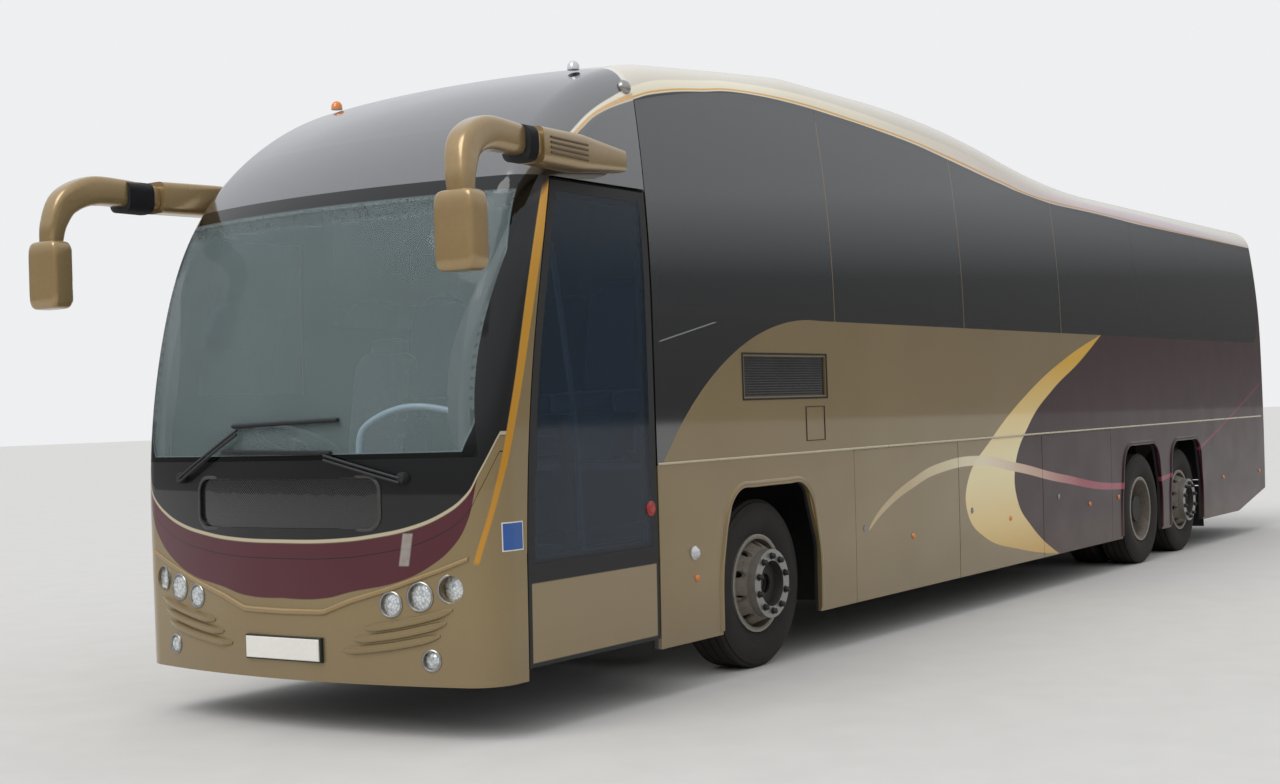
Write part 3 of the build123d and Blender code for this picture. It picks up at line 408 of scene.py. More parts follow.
def weaveShade(name, light, dark, accent):
    # a twill of crossed threads with a scattered fleck
    net = Net(name, Sheen_Weight=0.3, Roughness=0.9)
    thread = (net.y * 520.0).math("SINE") * ((net.z + net.x * 0.5) * 520.0).math("SINE")
    fleck = net.cells(34.0).under(0.22, 0.03)
    base = net.mix(thread * 0.35 + 0.5, dark, light)
    net.paint(net.mix(fleck * 0.8, base, accent), rough=0.86 + thread * 0.05)
    net.bump(thread * 0.5 + net.noise(30.0, 3.0), 0.0012, 0.5)
    return net.material


def lensShade():
    net = Net("lampLens", Specular_IOR_Level=0.7, Coat_Weight=0.6)
    flute = net.cells(70.0)
    behind = net.x.under(-8.0, 0.1)
    base = net.mix(flute * 0.9, "#f0f2f2", "#7d8488")
    base = net.mix(behind, base, net.mix(net.z.over(0.84, 0.005), "#b3600c", "#7a0c0f"))
    net.paint(base, rough=0.07 + flute * 0.10, metal=(1.0 - behind) * 0.35)
    net.bump(flute, 0.004, 0.6)
    return net.material


def displayShade():
    net = Net("displayGlass", Specular_IOR_Level=0.6, Coat_Weight=0.5)
    cell = (net.y * 400.0).math("SINE") * (net.z * 400.0).math("SINE")
    film = net.noise(4.0, 3.0)
    net.paint(net.mix(cell.over(0.2, 0.3) * 0.5, "#131416", "#2b2a2c"), rough=0.12 + film * 0.1)
    net.bump(cell, 0.0004, 0.3)
    return net.material


def leafShade():
    # black rubber and frame round the pane, a gold panel below it
    net = Net("doorLeaf", Specular_IOR_Level=0.5)
    grain = net.noise(160.0, 3.0)
    panel = net.z.within(0.36, 0.755, 0.003) * net.x.within(1.30, 2.425, 0.003) * net.y.over(1.22, 0.004)
    base = net.mix(grain, "#0d0d0e", "#1a1a1b")
    net.paint(net.mix(panel, base, net.mix(net.noise(1.3), tones["goldDeep"], tones["gold"])),
              rough=0.55 - panel * 0.25, metal=panel * 0.45, coat=panel * 0.8)
    net.bump(grain, 0.0005, 0.3)
    return net.material


def floorShade():
    net = Net("paleFloor", Roughness=0.9)
    grain = net.noise(3.0, 6.0)
    net.paint(net.mix(grain, "#c4c2be", "#cfcdc9"), rough=0.85 + grain * 0.1)
    return net.material


dome = domeShade()
rubber = tyreShade()
wheelPaint = wheelShade()
blackTrim = plain("blackTrim", "#1d1e20", "#101112", 0.45, 220.0, 0.0006)
sealBlack = plain("sealRubber", "#1a1a1b", "#0c0c0d", 0.7, 160.0, 0.0008)
goldTrim = plain("goldTrim", "#a68e63", "#94794f", 0.30, 40.0, 0.0003, metallic=0.5, coat=0.7)
# pale gold of the side moulding bead: painted highlight of its lit ledge
mouldingHighlight = plain("mouldingHighlight", "#cfc3a2", "#b7a782", 0.28, 40.0, 0.0003, metallic=0.5, coat=0.6)
steel = plain("brightSteel", "#b4b4b2", "#86837e", 0.28, 90.0, 0.0006, metallic=0.95)
nutSteel = plain("nutSteel", "#4d4a47", "#242220", 0.45, 120.0, 0.0010, metallic=0.8)
chassis = plain("chassisBlack", "#2b2927", "#151515", 0.75, 24.0, 0.0020)
casting = plain("greyCasting", "#57534e", "#2f2c29", 0.7, 70.0, 0.0025, metallic=0.4)
floorVinyl = plain("floorVinyl", "#3a3e48", "#262a33", 0.6, 300.0, 0.0006)
dashPlastic = plain("dashPlastic", "#46484b", "#323437", 0.62, 420.0, 0.0005)
amber = plain("amberLens", "#f08a1c", "#cf6a0d", 0.15, 300.0, 0.0006, coat=0.8)
clearLens = plain("clearLens", "#e8e9ea", "#a9adb0", 0.12, 260.0, 0.0006, metallic=0.3, coat=0.8)
whitePlate = plain("whitePlate", "#e9e7e0", "#d6d3c9", 0.35, 60.0, 0.0002, coat=0.3)
bluePlate = plain("bluePlate", "#1f5aa8", "#194b8f", 0.35, 60.0, 0.0002, coat=0.3)
redButton = plain("redButton", "#b02a1e", "#8d1f16", 0.35, 90.0, 0.0003, coat=0.4)
railBlue = plain("railBlue", "#27476b", "#1c3552", 0.35, 90.0, 0.0003, coat=0.4)
railPale = plain("railPale", "#9fb6c6", "#86a0b3", 0.35, 90.0, 0.0003, coat=0.4)
mirrorGlass = plain("mirrorSilver", "#c9ced1", "#b8bdc1", 0.03, 20.0, 0.0001, metallic=1.0, swing=0.02)
bellows = plain("bellowsRubber", "#26262a", "#131315", 0.6, 120.0, 0.0010)
moquette = weaveShade("seatMoquette", "#2c3f6b", "#1d2b4f", "#46598a")
driverCloth = weaveShade("driverCloth", "#4a4d55", "#2c2e34", "#5f636c")
sideGlass = glassSheet("sideGlass", "#1c1f22", 0.90, "side")
rearGlass = glassSheet("rearGlass", "#1c1f22", 0.90)
screenGlass = glassSheet("screenGlass", "#a9bcbd", 0.13, "screen")
doorPane = glassSheet("doorPane", "#2d3b49", 0.42, "door")

dressing = {
    "roof_panel": roofPaint, "front_dome": dome, "windscreen": screenGlass, "side_glass_left": sideGlass,
    "side_glass_right": sideGlass, "rear_window": rearGlass, "lamps": lensShade(), "displays": displayShade(),
    "chassis_frame": chassis, "luggage_hold": chassis, "floor_deck": floorVinyl, "engine_block": casting,
    "front_axle": chassis, "drive_axle": chassis, "tag_axle": chassis,
    "door_glass": doorPane, "door_arm": blackTrim, "wipers": blackTrim, "dashboard": dashPlastic,
    "steering_wheel": dashPlastic, "mirror_left": goldTrim, "mirror_right": goldTrim,
    "door_leaf": leafShade(),
}
for name, node in nodes.items():
    chosen = dressing.get(name, paint)
    if name.startswith("tyre"):
        chosen = rubber
    elif name.startswith("wheel"):
        chosen = wheelPaint
    elif name.startswith("knuckle"):
        chosen = casting
    node.data.materials.clear()
    node.data.materials.append(chosen)


# Mesh makers: every piece is a list of (points, faces) patches
def grid(points, wrap=False, loop=False, capped=False):
    # a lattice of points with faces between neighbours; wrap closes each row, loop closes the rows
    rows, columns = points.shape[:2]
    index = np.arange(rows * columns).reshape(rows, columns)
    down = np.arange(rows if loop else rows - 1)
    along = np.arange(columns if wrap else columns - 1)
    faces = [(index[r, c], index[r, (c + 1) % columns], index[(r + 1) % rows, (c + 1) % columns],
              index[(r + 1) % rows, c]) for r in down for c in along]
    if capped:
        faces += [tuple(index[0][::-1]), tuple(index[-1])]
    return points.reshape(-1, 3), faces


def merged(patches):
    points, faces, count = [], [], 0
    for some, these in patches:
        points.append(np.asarray(some, float))
        faces += [tuple(int(i) + count for i in face) for face in these]
        count += len(some)
    return np.vstack(points), faces


def piece(name, patches, material, body, smooth=True):
    points, faces = merged(patches)
    data = bpy.data.meshes.new(name)
    data.from_pydata(points.tolist(), [], faces)
    shape = bmesh.new()
    shape.from_mesh(data)
    bmesh.ops.recalc_face_normals(shape, faces=shape.faces[:])
    shape.to_mesh(data)
    shape.free()
    data.polygons.foreach_set("use_smooth", [smooth] * len(data.polygons))
    if smooth:
        data.set_sharp_from_angle(angle=math.radians(42))
    data.materials.append(material)
    made = bpy.data.objects.new(name, data)
    scene.collection.objects.link(made)
    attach(made, body)
    return made


def sweep(path, outline, up=(0, 0, 1), closed=False):
    # the outline (across, out) carried along the path; out is square to the path and to up
    path = np.asarray(path, float)
    outline = np.asarray(outline, float)
    if closed:
        run = np.roll(path, -1, 0) - np.roll(path, 1, 0)
    else:
        run = np.gradient(path, axis=0)
    run /= np.linalg.norm(run, axis=1)[:, None]
    across = np.cross(np.asarray(up, float), run)
    across /= np.linalg.norm(across, axis=1)[:, None]
    out = np.cross(run, across)
    points = path[:, None] + outline[None, :, :1] * across[:, None] + outline[None, :, 1:] * out[:, None]
    return grid(points, wrap=True, loop=closed, capped=not closed)


def circle(radius, count=16):
    turn = np.linspace(0, 2 * np.pi, count, endpoint=False)
    return np.stack([radius * np.cos(turn), radius * np.sin(turn)], 1)


def lathe(profile, origin, axis, count=32):
    # (along, radius) points turned about the axis
    axis = Vector(axis).normalized()
    side = axis.orthogonal().normalized()
    other = axis.cross(side)
    turn = np.linspace(0, 2 * np.pi, count, endpoint=False)
    ring = np.cos(turn)[:, None] * np.array(side) + np.sin(turn)[:, None] * np.array(other)
    points = np.array([np.array(origin) + a * np.array(axis) + r * ring for a, r in profile])
    return grid(points, wrap=True, capped=True)


def spline(points, count):
    # Catmull-Rom through the points
    points = np.asarray(points, float)
    padded = np.vstack([2 * points[0] - points[1], points, 2 * points[-1] - points[-2]])
    place = np.linspace(0, len(points) - 1, count)
    at = np.minimum(place.astype(int), len(points) - 2)
    t = (place - at)[:, None]
    a, b, c, d = (padded[at + k] for k in range(4))
    return 0.5 * (2 * b + (c - a) * t + (2 * a - 5 * b + 4 * c - d) * t**2 + (3 * b - 3 * c + d - a) * t**3)


def sideY(z):
    # half width of the body at a height: tucked below the moulding, leaning in above the waist
    z = np.asarray(z, float)
    return 1.270 - np.maximum(1.284 - z, 0) ** 2 / 84 - np.maximum(z - 2.125, 0) ** 2 / 19


def frontX(y):
    # the nose seen from above: a bow of 4.705 m with corners of 0.21 m
    y = np.abs(np.asarray(y, float))
    bow = 2.400 + np.sqrt(np.maximum(4.705**2 - y**2, 0))
    corner = 6.768 + np.sqrt(np.maximum(0.21**2 - np.maximum(y - 1.06, 0) ** 2, 0))
    return np.where(y < 1.1095, bow, corner)


def pad(middle, half, turn=0.0, power=0.35, rows=12, columns=16):
    # a crowned closed form: |x/a|^n + |y/b|^n + |z/c|^n = 1, leant back about the crosswise axis
    rise = np.linspace(-np.pi / 2, np.pi / 2, rows)[:, None]
    spin = np.linspace(-np.pi, np.pi, columns, endpoint=False)[None, :]

    def bent(value):
        return np.sign(value) * np.abs(value) ** power

    x = half[0] * bent(np.cos(rise)) * bent(np.cos(spin))
    y = half[1] * bent(np.cos(rise)) * bent(np.sin(spin))
    z = half[2] * bent(np.sin(rise)) * np.ones_like(spin)
    c, s = math.cos(turn), math.sin(turn)
    points = np.stack([c * x + s * z, y, -s * x + c * z], 2) + np.array(middle)
    return grid(points, wrap=True, capped=True)


print("wheels: nuts")
nuts = {"count": 10, "circle": 0.1675, "across": 0.017, "tall": 0.030}
for axle, (station, wheelY, face) in axles.items():
    for side, hand in (("left", 1), ("right", -1)):
        patches = []
        for number in range(nuts["count"]):
            turn = 2 * math.pi * (number + 0.5) / nuts["count"]
            spot = (axleX + station + nuts["circle"] * math.cos(turn), hand * (wheelY + face - 0.004),
                    wheelZ + nuts["circle"] * math.sin(turn))
            wide, tall = nuts["across"], nuts["tall"]
            patches.append(lathe([(0, wide * 1.35), (0.005, wide * 1.35), (0.006, wide), (tall - 0.004, wide),
                                  (tall, wide * 0.8), (tall + 0.004, wide * 0.45)], spot, (0, hand, 0), 12))
        piece(f"nuts_{axle}_{side}", patches, nutSteel, f"wheel_{axle}_{side}")

print("sides: moulding, arch lips, markers")
arches = [(0.0, 0.604, 0.440), (-7.05, 0.581, 0.430), (-8.45, 0.538, 0.410)]
# turned profiles: the distance out of the side and the radius
marker = [(-0.004, 0.020), (0.004, 0.020), (0.011, 0.014), (0.013, 0.003)]
lockDish = [(-0.004, 0.024), (0.003, 0.024), (0.005, 0.017), (0.004, 0.015), (0.004, 0.003)]
sideLens = [(-0.004, 0.040), (0.006, 0.040), (0.010, 0.034), (0.024, 0.026), (0.031, 0.014),
            (0.033, 0.002)]
for side, hand in (("left", 1), ("right", -1)):
    ahead = 1.262 if hand > 0 else 2.10
    run = [[axleX + x, hand * 1.2705, 1.2985] for x in np.linspace(ahead, -11.33, 40)]
    bead = [(-0.0070, 0.0), (-0.0070, 0.004), (-0.0035, 0.0075), (0.0035, 0.0075), (0.0070, 0.004),
            (0.0070, 0.0)]
    # the bead stands off the wall: across is up the wall here
    points = np.array([[[p[0], p[1] + hand * out, p[2] + up] for up, out in bead] for p in run])
    # the bead in pale gold: painted highlight
    piece(f"moulding_{side}", [grid(points, wrap=True, capped=True)], mouldingHighlight, "body")
    patches = []
    for centre, low, top in arches:
        corners = [(-low, 0.30), (-low, 0.60), (-low + 0.03, 0.78), (-top - 0.07, 1.00), (-top + 0.06, 1.112),
                   (-top + 0.25, 1.120), (top - 0.25, 1.120), (top - 0.06, 1.112), (top + 0.07, 1.00),
                   (low - 0.03, 0.78), (low, 0.60), (low, 0.30)]
        line = spline([(x, 0.0, z) for x, z in corners], 70)
        lip = [(-0.004, -0.006), (-0.004, 0.008), (0.004, 0.013), (0.022, 0.010), (0.034, 0.0),
               (0.034, -0.006)]
        run = np.gradient(line, axis=0)
        run /= np.linalg.norm(run, axis=1)[:, None]
        outward = np.stack([-run[:, 2], np.zeros(len(run)), run[:, 0]], 1)
        ridge = np.zeros((len(line), len(lip), 3))
        for column, (away, proud) in enumerate(lip):
            spot = line + outward * away
            ridge[:, column, 0] = axleX + centre + spot[:, 0]
            ridge[:, column, 1] = hand * (sideY(spot[:, 2]) + proud)
            ridge[:, column, 2] = spot[:, 2]
        patches.append(grid(ridge, wrap=True, capped=True))
    piece(f"archLips_{side}", patches, paint, "body")
    patches = []
    for x, z in ((0.883, 0.634), (-6.36, 0.665), (-9.75, 0.678), (-11.2, 0.679)):
        patches.append(lathe(marker, (axleX + x, hand * float(sideY(z)), z), (0, hand, 0), 20))
    piece(f"markers_{side}", patches, amber, "body")
    for number, x in ((1, -1.991), (2, -3.78), (3, -5.60)):
        spot = (axleX + x, hand * float(sideY(0.65)), 0.65)
        piece(f"doorMarker_{side}_{number}", [lathe(marker, spot, (0, hand, 0), 20)], amber,
              f"luggage_door_{side}_{number}")
        lock = (axleX + x + 0.75, hand * float(sideY(0.76)), 0.76)
        piece(f"doorLock_{side}_{number}", [lathe(lockDish, lock, (0, hand, 0), 24)], steel,
              f"luggage_door_{side}_{number}")
    spot = (axleX + 0.906, hand * float(sideY(0.779)), 0.779)
    piece(f"sideLamp_{side}", [lathe(sideLens, spot, (0, hand, 0), 32)], clearLens, "body")

# Small flap below the side display and the display's frame
flap = {"x": (-0.709, -0.468), "z": (1.375, 1.586)}
patches = []
for x0, x1, z0, z1, wide in ((flap["x"][0], flap["x"][1], flap["z"][0], flap["z"][1], 0.004),
                             (-0.752, 0.302, 1.650, 1.914, 0.012)):
    ring = [(x0, z0), (x1, z0), (x1, z1), (x0, z1)]
    rows = []
    for grow, proud in ((0, 0.0), (0, 0.004), (wide, 0.004), (wide, 0.0)):
        rows.append([(axleX + x + grow * (1 if x == x1 else -1), 1.2702 + proud,
                      z + grow * (1 if z == z1 else -1))
                     for x, z in ring])
    patches.append(grid(np.array(rows), wrap=True, loop=True))
piece("sideFrames", patches, sealBlack, "body", smooth=False)

print("front: plate, lamps, ribs, display rim, sign")
plateX = float(frontX(0))
plate = [(-0.26, -0.0555), (0.26, -0.0555), (0.26, 0.0555), (-0.26, 0.0555)]


def slab(outline, back, front, height, bevel=0.003):
    # an outline in (y, z) with bevelled front edges
    middle = np.mean(outline, axis=0)
    rows = []
    for x, shrink in ((back, 0.0), (front - bevel, 0.0), (front, bevel)):
        rows.append([(x, y - np.sign(y - middle[0]) * shrink, height + z - np.sign(z - middle[1]) * shrink)
                     for y, z in outline])
    return grid(np.array(rows), wrap=True, capped=True)


piece("plateHolder", [slab([(y * 1.04, z * 1.14) for y, z in plate], plateX - 0.01, plateX + 0.012, 0.437)],
      blackTrim, "body", smooth=False)
piece("plate", [slab(plate, plateX + 0.010, plateX + 0.020, 0.437)], whitePlate, "body",
      smooth=False)

lampSpots = [(0.696, 0.679, 0.058), (0.863, 0.719, 0.066), (1.032, 0.757, 0.066), (0.917, 0.406, 0.046)]
rings, ribs = [], []
for hand in (1, -1):
    for y, z, radius in lampSpots:
        # the nose curves away, so each bezel is turned to face along it
        slope = y / math.sqrt(4.705**2 - y**2) + (0.25 if y > 1.0 else 0.0)
        axis = Vector((1, hand * slope, 0)).normalized()
        x = float(frontX(y)) - (0.012 if y > 1.0 else 0.002)
        rings.append(lathe([(-0.010, radius + 0.010), (0.006, radius + 0.010), (0.010, radius + 0.005),
                            (0.008, radius - 0.001), (-0.010, radius - 0.001)], (x, hand * y, z), axis, 40))
        points, faces = rings[-1]
        rings[-1] = (points, faces[:-2] + [(a, (a + 1) % 40, 160 + (a + 1) % 40, 160 + a) for a in range(40)])
    for k in range(3):
        share = k / 2
        inner = (0.537 - 0.141 * share, 0.559 - 0.115 * share)
        outer = (1.04 - 0.07 * share, 0.657 - 0.128 * share)
        ys = np.linspace(inner[0], outer[0], 24)
        zs = np.linspace(inner[1], outer[1], 24) - 0.012 * np.sin(np.linspace(0, np.pi, 24))
        taper = np.sqrt(np.clip(np.sin(np.linspace(0.04, np.pi - 0.04, 24)) * 2.2, 0, 1))
        outline = [(-0.030, -0.008), (-0.022, 0.014), (-0.004, 0.021), (0.012, 0.017), (0.022, -0.008)]
        rows = [[(float(frontX(y)) + out * t, hand * y, z + up * t) for up, out in outline]
                for y, z, t in zip(ys, zs, taper)]
        ribs.append(grid(np.array(rows), wrap=True, capped=True))
piece("lampRings", rings, steel, "body")
piece("lampRibs", ribs, paint, "body")


def roundedLoop(halfY, low, high, radius, count=10):
    # a rounded rectangle in (y, z)
    loop = []
    for cy, cz, start in ((halfY - radius, high - radius, 0), (-halfY + radius, high - radius, 90),
                          (-halfY + radius, low + radius, 180), (halfY - radius, low + radius, 270)):
        for k in range(count):
            turn = math.radians(start + 90 * k / (count - 1))
            loop.append((cy + radius * math.cos(turn), cz + radius * math.sin(turn)))
    return loop


rows = []
for grow, proud in ((-0.002, -0.004), (-0.002, 0.006), (0.008, 0.009), (0.016, 0.005), (0.016, -0.006)):
    loop = roundedLoop(0.642 + grow, 1.054 - grow, 1.310 + grow, 0.07 + grow)
    rows.append([(float(frontX(y)) + proud - max(z - 1.13, 0) ** 2 / 8.1, y, z) for y, z in loop])
piece("displayRim", [grid(np.array(rows), wrap=True, loop=True)],
      plain("rimGrey", "#5d5a57", "#3c3a39", 0.35, 60.0, 0.0003, metallic=0.6), "body")

# The bumper's lip: a bead from lamp to lamp under the coloured band
bead = []
for y in np.linspace(-1.13, 1.13, 60):
    size = 0.011 + 0.006 * math.cos(y * 1.2)
    z = float(np.interp(abs(y), (0, 0.28, 0.45, 0.69, 0.98, 1.13),
                        (0.626, 0.630, 0.690, 0.755, 0.850, 0.905)))
    bead.append([(float(frontX(y)) + size * math.cos(t) * 0.8, y, z + size * math.sin(t)) for t in
                 np.linspace(0, 2 * np.pi, 12, endpoint=False)])
piece("bumperLip", [grid(np.array(bead), wrap=True, capped=True)], goldTrim, "body")

# Blank sign ahead of the door
for name, edge, proud, material in (("signBorder", 0.0, 0.001, whitePlate),
                                    ("signBlank", 0.006, 0.002, bluePlate)):
    xs = np.linspace(2.488 + edge, 2.634 - edge, 12)
    ys = 1.060 + np.sqrt(0.21**2 - np.maximum(xs - 2.548, 0) ** 2) - 0.001 + proud
    sheet = np.array([[(axleX + x, y, z) for x, y in zip(xs, ys)] for z in (0.932 + edge, 1.075 - edge)])
    piece(name, [grid(sheet)], material, "body")

def leanX(z):
    # the nose's lean above its bend
    z = np.asarray(z, float)
    return np.sqrt(4.05**2 - np.clip(z - 1.13, 0, 1.25) ** 2) - 4.05


def limb(points, halves, count=48, power=0.5):
    # a rounded-square limb whose thickness and depth change along its path
    line = spline(points, count)
    share = np.linspace(0, len(halves) - 1, count)
    thick = np.interp(share, range(len(halves)), [h[0] for h in halves])
    deep = np.interp(share, range(len(halves)), [h[1] for h in halves])
    run = np.gradient(line, axis=0)
    run /= np.linalg.norm(run, axis=1)[:, None]
    out = np.tile(np.array([0.0, 1.0, 0.0]), (count, 1))
    across = np.cross(out, run)
    across /= np.linalg.norm(across, axis=1)[:, None]
    turn = np.linspace(0, 2 * np.pi, 32, endpoint=False)
    a = np.sign(np.cos(turn)) * np.abs(np.cos(turn)) ** power
    b = np.sign(np.sin(turn)) * np.abs(np.sin(turn)) ** power
    points = (line[:, None] + (thick[:, None] * a)[:, :, None] * across[:, None]
              + (deep[:, None] * b)[:, :, None] * out[:, None])
    return grid(points, wrap=True, capped=True)


print("wipers laid on the screen")


def onScreen(y, z, proud):
    return (float(frontX(y)) + float(leanX(z)) + proud, y, z)


patches = []
for pivot, elbow, start, end in (((0.79, 1.305), (0.33, 1.425), (0.36, 1.437), (-0.43, 1.452)),
                                 ((-0.80, 1.315), (-0.30, 1.565), (-0.35, 1.585), (0.40, 1.602))):
    patches.append(lathe([(-0.06, 0.030), (0.018, 0.030), (0.030, 0.024), (0.034, 0.006)],
                         onScreen(*pivot, 0.004), (1, 0, 0), 24))
    for offset in (0.0, 0.022):
        line = [onScreen(pivot[0] + (elbow[0] - pivot[0]) * s,
                         pivot[1] - offset + (elbow[1] - pivot[1]) * s, 0.034)
                for s in np.linspace(0, 1, 14)]
        patches.append(sweep(line, circle(0.0075, 10)))
    line = [onScreen(start[0] + (end[0] - start[0]) * s, start[1] + (end[1] - start[1]) * s, 0.018) for s in
            np.linspace(0, 1, 24)]
    patches.append(sweep(line, [(-0.006, -0.014), (-0.011, 0.002), (-0.004, 0.012), (0.004, 0.012),
                                (0.011, 0.002), (0.006, -0.014)], up=(1, 0, 0)))
wiperSet = piece("wiperSet", patches, blackTrim, "body")
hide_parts("wipers")

print("mirrors: limbs, heads, bellows, ribs, glass")
for side, hand, folds, reach in (("left", 1, 5, (2.545, 2.612)), ("right", -1, 12, (2.515, 2.690))):
    rows = []
    for k in range(folds * 4 + 1):
        share = k / (folds * 4)
        swell = 0.083 + 0.008 * math.cos(share * folds * 2 * math.pi)
        x = axleX + reach[0] + (reach[1] - reach[0]) * share
        rows.append([(x, hand * 1.400 + swell * np.sign(math.cos(t)) * abs(math.cos(t)) ** 0.6,
                      2.915 + swell * np.sign(math.sin(t)) * abs(math.sin(t)) ** 0.6)
                     for t in np.linspace(0, 2 * np.pi, 28, endpoint=False)])
    piece(f"bellows_{side}", [grid(np.array(rows), wrap=True, capped=True)], bellows, "body")
    # thin dark brown-gold rods along the arm: painted shade in its slots
    slots = []
    for k in range(4):
        z = 2.965 - k * 0.026
        run = [(axleX + x, hand * (1.3335 + 0.088 + (x - 2.05) * 0.095), z)
               for x in np.linspace(2.04, 2.40, 16)]
        slots.append(sweep(run, circle(0.0065, 10)))
    piece(f"mirrorSlots_{side}", slots, plain(f"slotPaintedShade_{side}", "#5c4d35", "#4a3d29", 0.5, 60.0, 0.0003),
          "body")
    limbs = [limb([(axleX + x, hand * y, z)
                   for x, y, z in ((1.60, 1.300, 2.935), (2.05, 1.335, 2.930), (2.46, 1.375, 2.925))],
                  [(0.060, 0.060), (0.094, 0.088), (0.092, 0.085)], 30, 0.4),
             limb([(axleX + x, hand * y, z)
                   for x, y, z in ((2.46, 1.385, 2.925), (2.70, 1.400, 2.935), (2.90, 1.415, 2.930),
                   (3.045, 1.435, 2.860), (3.105, 1.455, 2.740), (3.120, 1.466, 2.620))],
                  [(0.066, 0.062), (0.078, 0.066), (0.082, 0.070), (0.076, 0.070), (0.058, 0.066),
                   (0.046, 0.060)], 60)]
    points, faces = pad((axleX + 3.128, hand * 1.466, 2.451), (0.066, 0.120, 0.188), 0.0, 0.30, 28, 36)
    limbs.append((points, faces))
    mirrorSet = piece(f"mirrorSet_{side}", limbs, goldTrim, "body")
    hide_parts(f"mirror_{side}")
    face = axleX + 3.128 - 0.066
    for number, low, high in ((1, 2.290, 2.385), (2, 2.397, 2.615)):
        loop = roundedLoop(0.098, low, high, 0.025, 6)
        rows = [[(face - out, hand * 1.466 + y * (1 - shrink),
                  (low + high) / 2 + (z - (low + high) / 2) * (1 - shrink))
                 for y, z in loop] for out, shrink in ((-0.004, 0.0), (0.003, 0.0), (0.004, 0.03))]
        piece(f"mirrorFace_{side}_{number}", [grid(np.array(rows), wrap=True, capped=True)], mirrorGlass,
              "body")
    lamp = lathe([(-0.01, 0.035), (0.018, 0.033), (0.035, 0.022), (0.042, 0.006)],
                 (axleX + 1.421, hand * 0.90, 3.520), (0, 0, 1), 24)
    piece(f"roofLamp_{side}", [lamp], clearLens if hand > 0 else amber, "body")
    lamp = lathe([(-0.02, 0.042), (0.020, 0.042), (0.034, 0.030), (0.040, 0.006)],
                 (axleX + 1.328, hand * 1.165, 3.385), (0.1, hand, 0.35), 28)
    piece(f"corniceLamp_{side}", [lamp], steel, "body")

print("door: release, handrails")
release = lathe([(-0.004, 0.042), (0.004, 0.042), (0.008, 0.038), (0.006, 0.026), (0.012, 0.022),
                 (0.014, 0.004)],
                (axleX + 1.345, 1.270, 1.060), (0, 1, 0), 32)
piece("doorRelease", [release], redButton, "door_leaf")
rail = spline([(axleX + x, y, z) for x, y, z in ((2.12, 1.19, 2.58), (2.03, 1.165, 2.42), (1.93, 1.155, 1.95),
               (1.86, 1.155, 1.45), (1.84, 1.155, 0.95), (1.86, 1.18, 0.62))], 60)
piece("doorRail", [sweep(rail, circle(0.016), up=(0, 1, 0))], railBlue, "door_leaf")
rail = spline([(axleX + x, y, z) for x, y, z in ((2.42, 0.12, 1.37), (2.40, 0.16, 1.56), (2.32, 0.42, 1.66),
               (2.20, 0.74, 1.58), (2.14, 0.90, 1.36), (2.12, 0.92, 1.05))], 60)
piece("dashRail", [sweep(rail, circle(0.018), up=(0.3, 0.2, 1))], railPale, "body")

print("seats: crowned cushions in the places of the CAD seats")
saloon = {"front": 0.640, "rows": 14, "pitch": 0.800, "across": (0.945, 0.495), "floor": 1.310}
cushions = []
for row in range(saloon["rows"]):
    x = axleX + saloon["front"] - row * saloon["pitch"]
    for hand in (1, -1):
        for y in saloon["across"]:
            z = saloon["floor"]
            cushions.append(pad((x + 0.110, hand * y, z + 0.350), (0.215, 0.215, 0.068), 0.03))
            cushions.append(pad((x - 0.145, hand * y, z + 0.700), (0.060, 0.210, 0.350), -0.17))
            cushions.append(pad((x - 0.205, hand * y, z + 0.985), (0.045, 0.130, 0.105), -0.17))
            cushions.append(pad((x + 0.06, hand * y, z + 0.155), (0.10, 0.16, 0.150), 0.0, 0.25, 8, 12))
seats = piece("saloonSeats", cushions, moquette, "body")
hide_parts("passenger_seats")
x, y, z = axleX + 1.560, -0.600, 0.950
driver = [pad((x + 0.110, y, z + 0.350), (0.215, 0.235, 0.070), 0.03),
          pad((x - 0.150, y, z + 0.700), (0.065, 0.230, 0.350), -0.17),
          pad((x - 0.215, y, z + 1.040), (0.045, 0.130, 0.095), -0.17),
          pad((x + 0.06, y, z + 0.150), (0.16, 0.18, 0.148), 0.0, 0.2)]
seats = piece("driverSeat", driver, driverCloth, "body")
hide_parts("driver_seat")

print("back: mud flaps, grille bars")
for side, hand in (("left", 1), ("right", -1)):
    flapRows = [[(axleX - 9.05 - 0.02 * s + d, hand * (1.05 + w), 0.62 - 0.42 * s) for d, w in
                 ((0, -0.19), (0.006, -0.19), (0.006, 0.19), (0, 0.19))] for s in np.linspace(0, 1, 10)]
    piece(f"mudFlap_{side}", [grid(np.array(flapRows), wrap=True, capped=True)], sealBlack, "body")
bars = []
for k in range(9):
    z = 0.70 + k * 0.055
    line = [(-7.4195, y, z) for y in np.linspace(-0.62, 0.62, 8)]
    bars.append(sweep(line, [(-0.004, -0.010), (0.004, -0.004), (0.004, 0.006), (-0.004, 0.012)]))
piece("lidBars", bars, blackTrim, "engine_lid", smooth=False)

print("stage: floor, sky, lamps, camera")
data = bpy.data.meshes.new("floorSheet")
data.from_pydata([(-150, -150, 0), (150, -150, 0), (150, 150, 0), (-150, 150, 0)], [], [(0, 1, 2, 3)])
data.materials.append(floorShade())
floorSheet = bpy.data.objects.new("floorSheet", data)
scene.collection.objects.link(floorSheet)

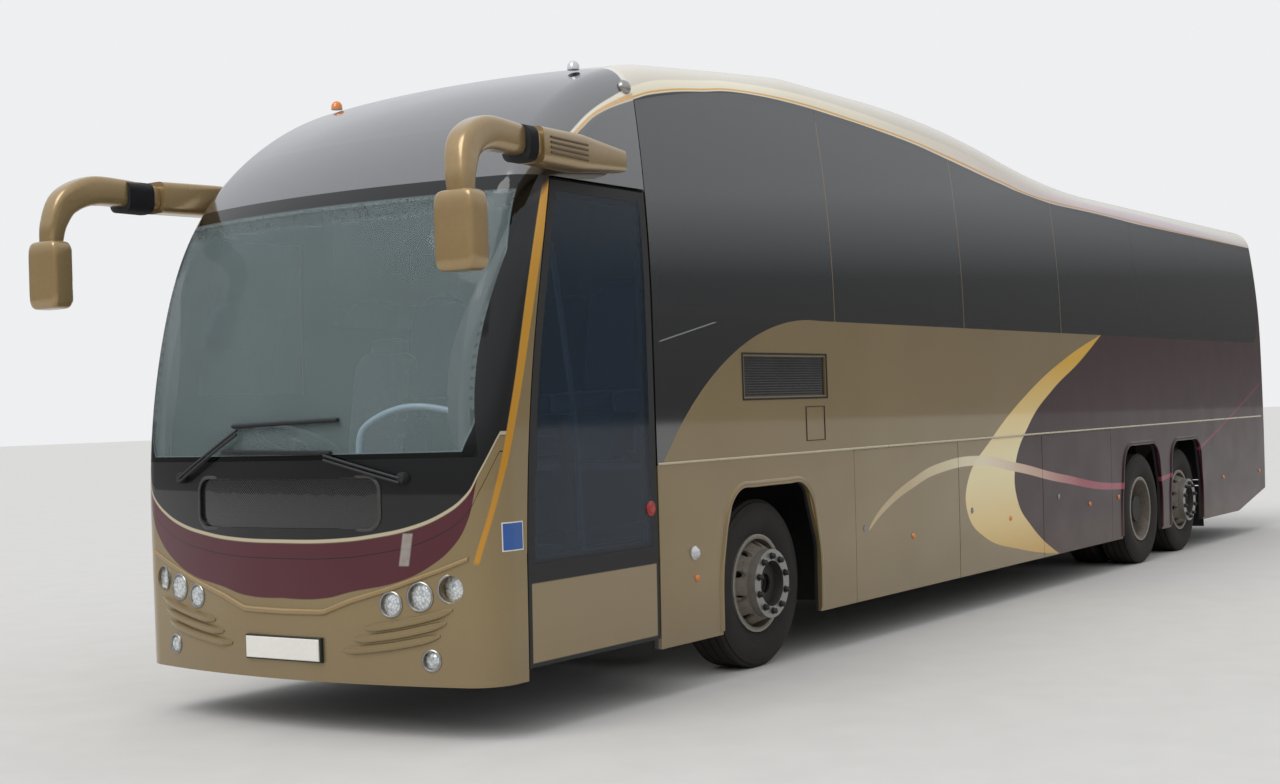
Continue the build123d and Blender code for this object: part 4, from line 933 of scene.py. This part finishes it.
# The sky is bright above; near the horizon reflections find a darker line, and the camera a pale one
world = bpy.data.worlds.new("paleSky")
world.use_nodes = True
scene.world = world
tree = world.node_tree
sky = tree.nodes["Background"]
spot = tree.nodes.new("ShaderNodeTexCoord")
parts = tree.nodes.new("ShaderNodeSeparateXYZ")
ramp = tree.nodes.new("ShaderNodeValToRGB")
rays = tree.nodes.new("ShaderNodeLightPath")
choice = tree.nodes.new("ShaderNodeMix")
choice.data_type = "RGBA"
tree.links.new(spot.outputs["Generated"], parts.inputs[0])
tree.links.new(parts.outputs["Z"], ramp.inputs[0])
stops = ramp.color_ramp.elements
stops[0].position = 0.0
stops[0].color = (0.13, 0.125, 0.12, 1)
stops[1].position = 1.0
stops[1].color = (0.95, 0.97, 1.0, 1)
for place, tone in ((0.10, (0.17, 0.17, 0.17, 1)), (0.20, (0.62, 0.63, 0.65, 1)),
                    (0.5, (0.84, 0.86, 0.89, 1))):
    stops.new(place).color = tone
tree.links.new(ramp.outputs[0], choice.inputs[6])
choice.inputs[7].default_value = (0.86, 0.865, 0.875, 1)
tree.links.new(rays.outputs["Is Camera Ray"], choice.inputs[0])
tree.links.new(choice.outputs[2], sky.inputs["Color"])
sky.inputs["Strength"].default_value = 1.0

lamp = bpy.data.lights.new("softSun", "SUN")
lamp.energy = 1.4
lamp.angle = math.radians(40)
sun = bpy.data.objects.new("softSun", lamp)
sun.rotation_euler = (math.radians(35), math.radians(18), math.radians(60))
scene.collection.objects.link(sun)

# Camera fitted to the photograph: place, view and roll in the row frame
view = bpy.data.cameras.new("photoCamera")
view.sensor_width = 36.0
view.lens = 49.32
view.clip_end = 500.0
yaw, pitch, roll = math.radians(-146.081), math.radians(0.590), math.radians(-1.899)
forward = Vector((math.cos(pitch) * math.cos(yaw), math.cos(pitch) * math.sin(yaw), math.sin(pitch)))
level = Vector((math.sin(yaw), -math.cos(yaw), 0))
rise = level.cross(forward)
right = math.cos(roll) * level + math.sin(roll) * rise
top = -math.sin(roll) * level + math.cos(roll) * rise
camera = bpy.data.objects.new("photoCamera", view)
camera.matrix_world = Matrix([(right[k], top[k], -forward[k], place)
                              for k, place in enumerate((13.5669, 6.6058, 1.6016))]
                             + [(0, 0, 0, 1)])
scene.collection.objects.link(camera)
scene.camera = camera
scene.render.resolution_x = 1280
scene.render.resolution_y = 784
scene.view_settings.view_transform = "Standard"
scene.view_settings.look = "None"
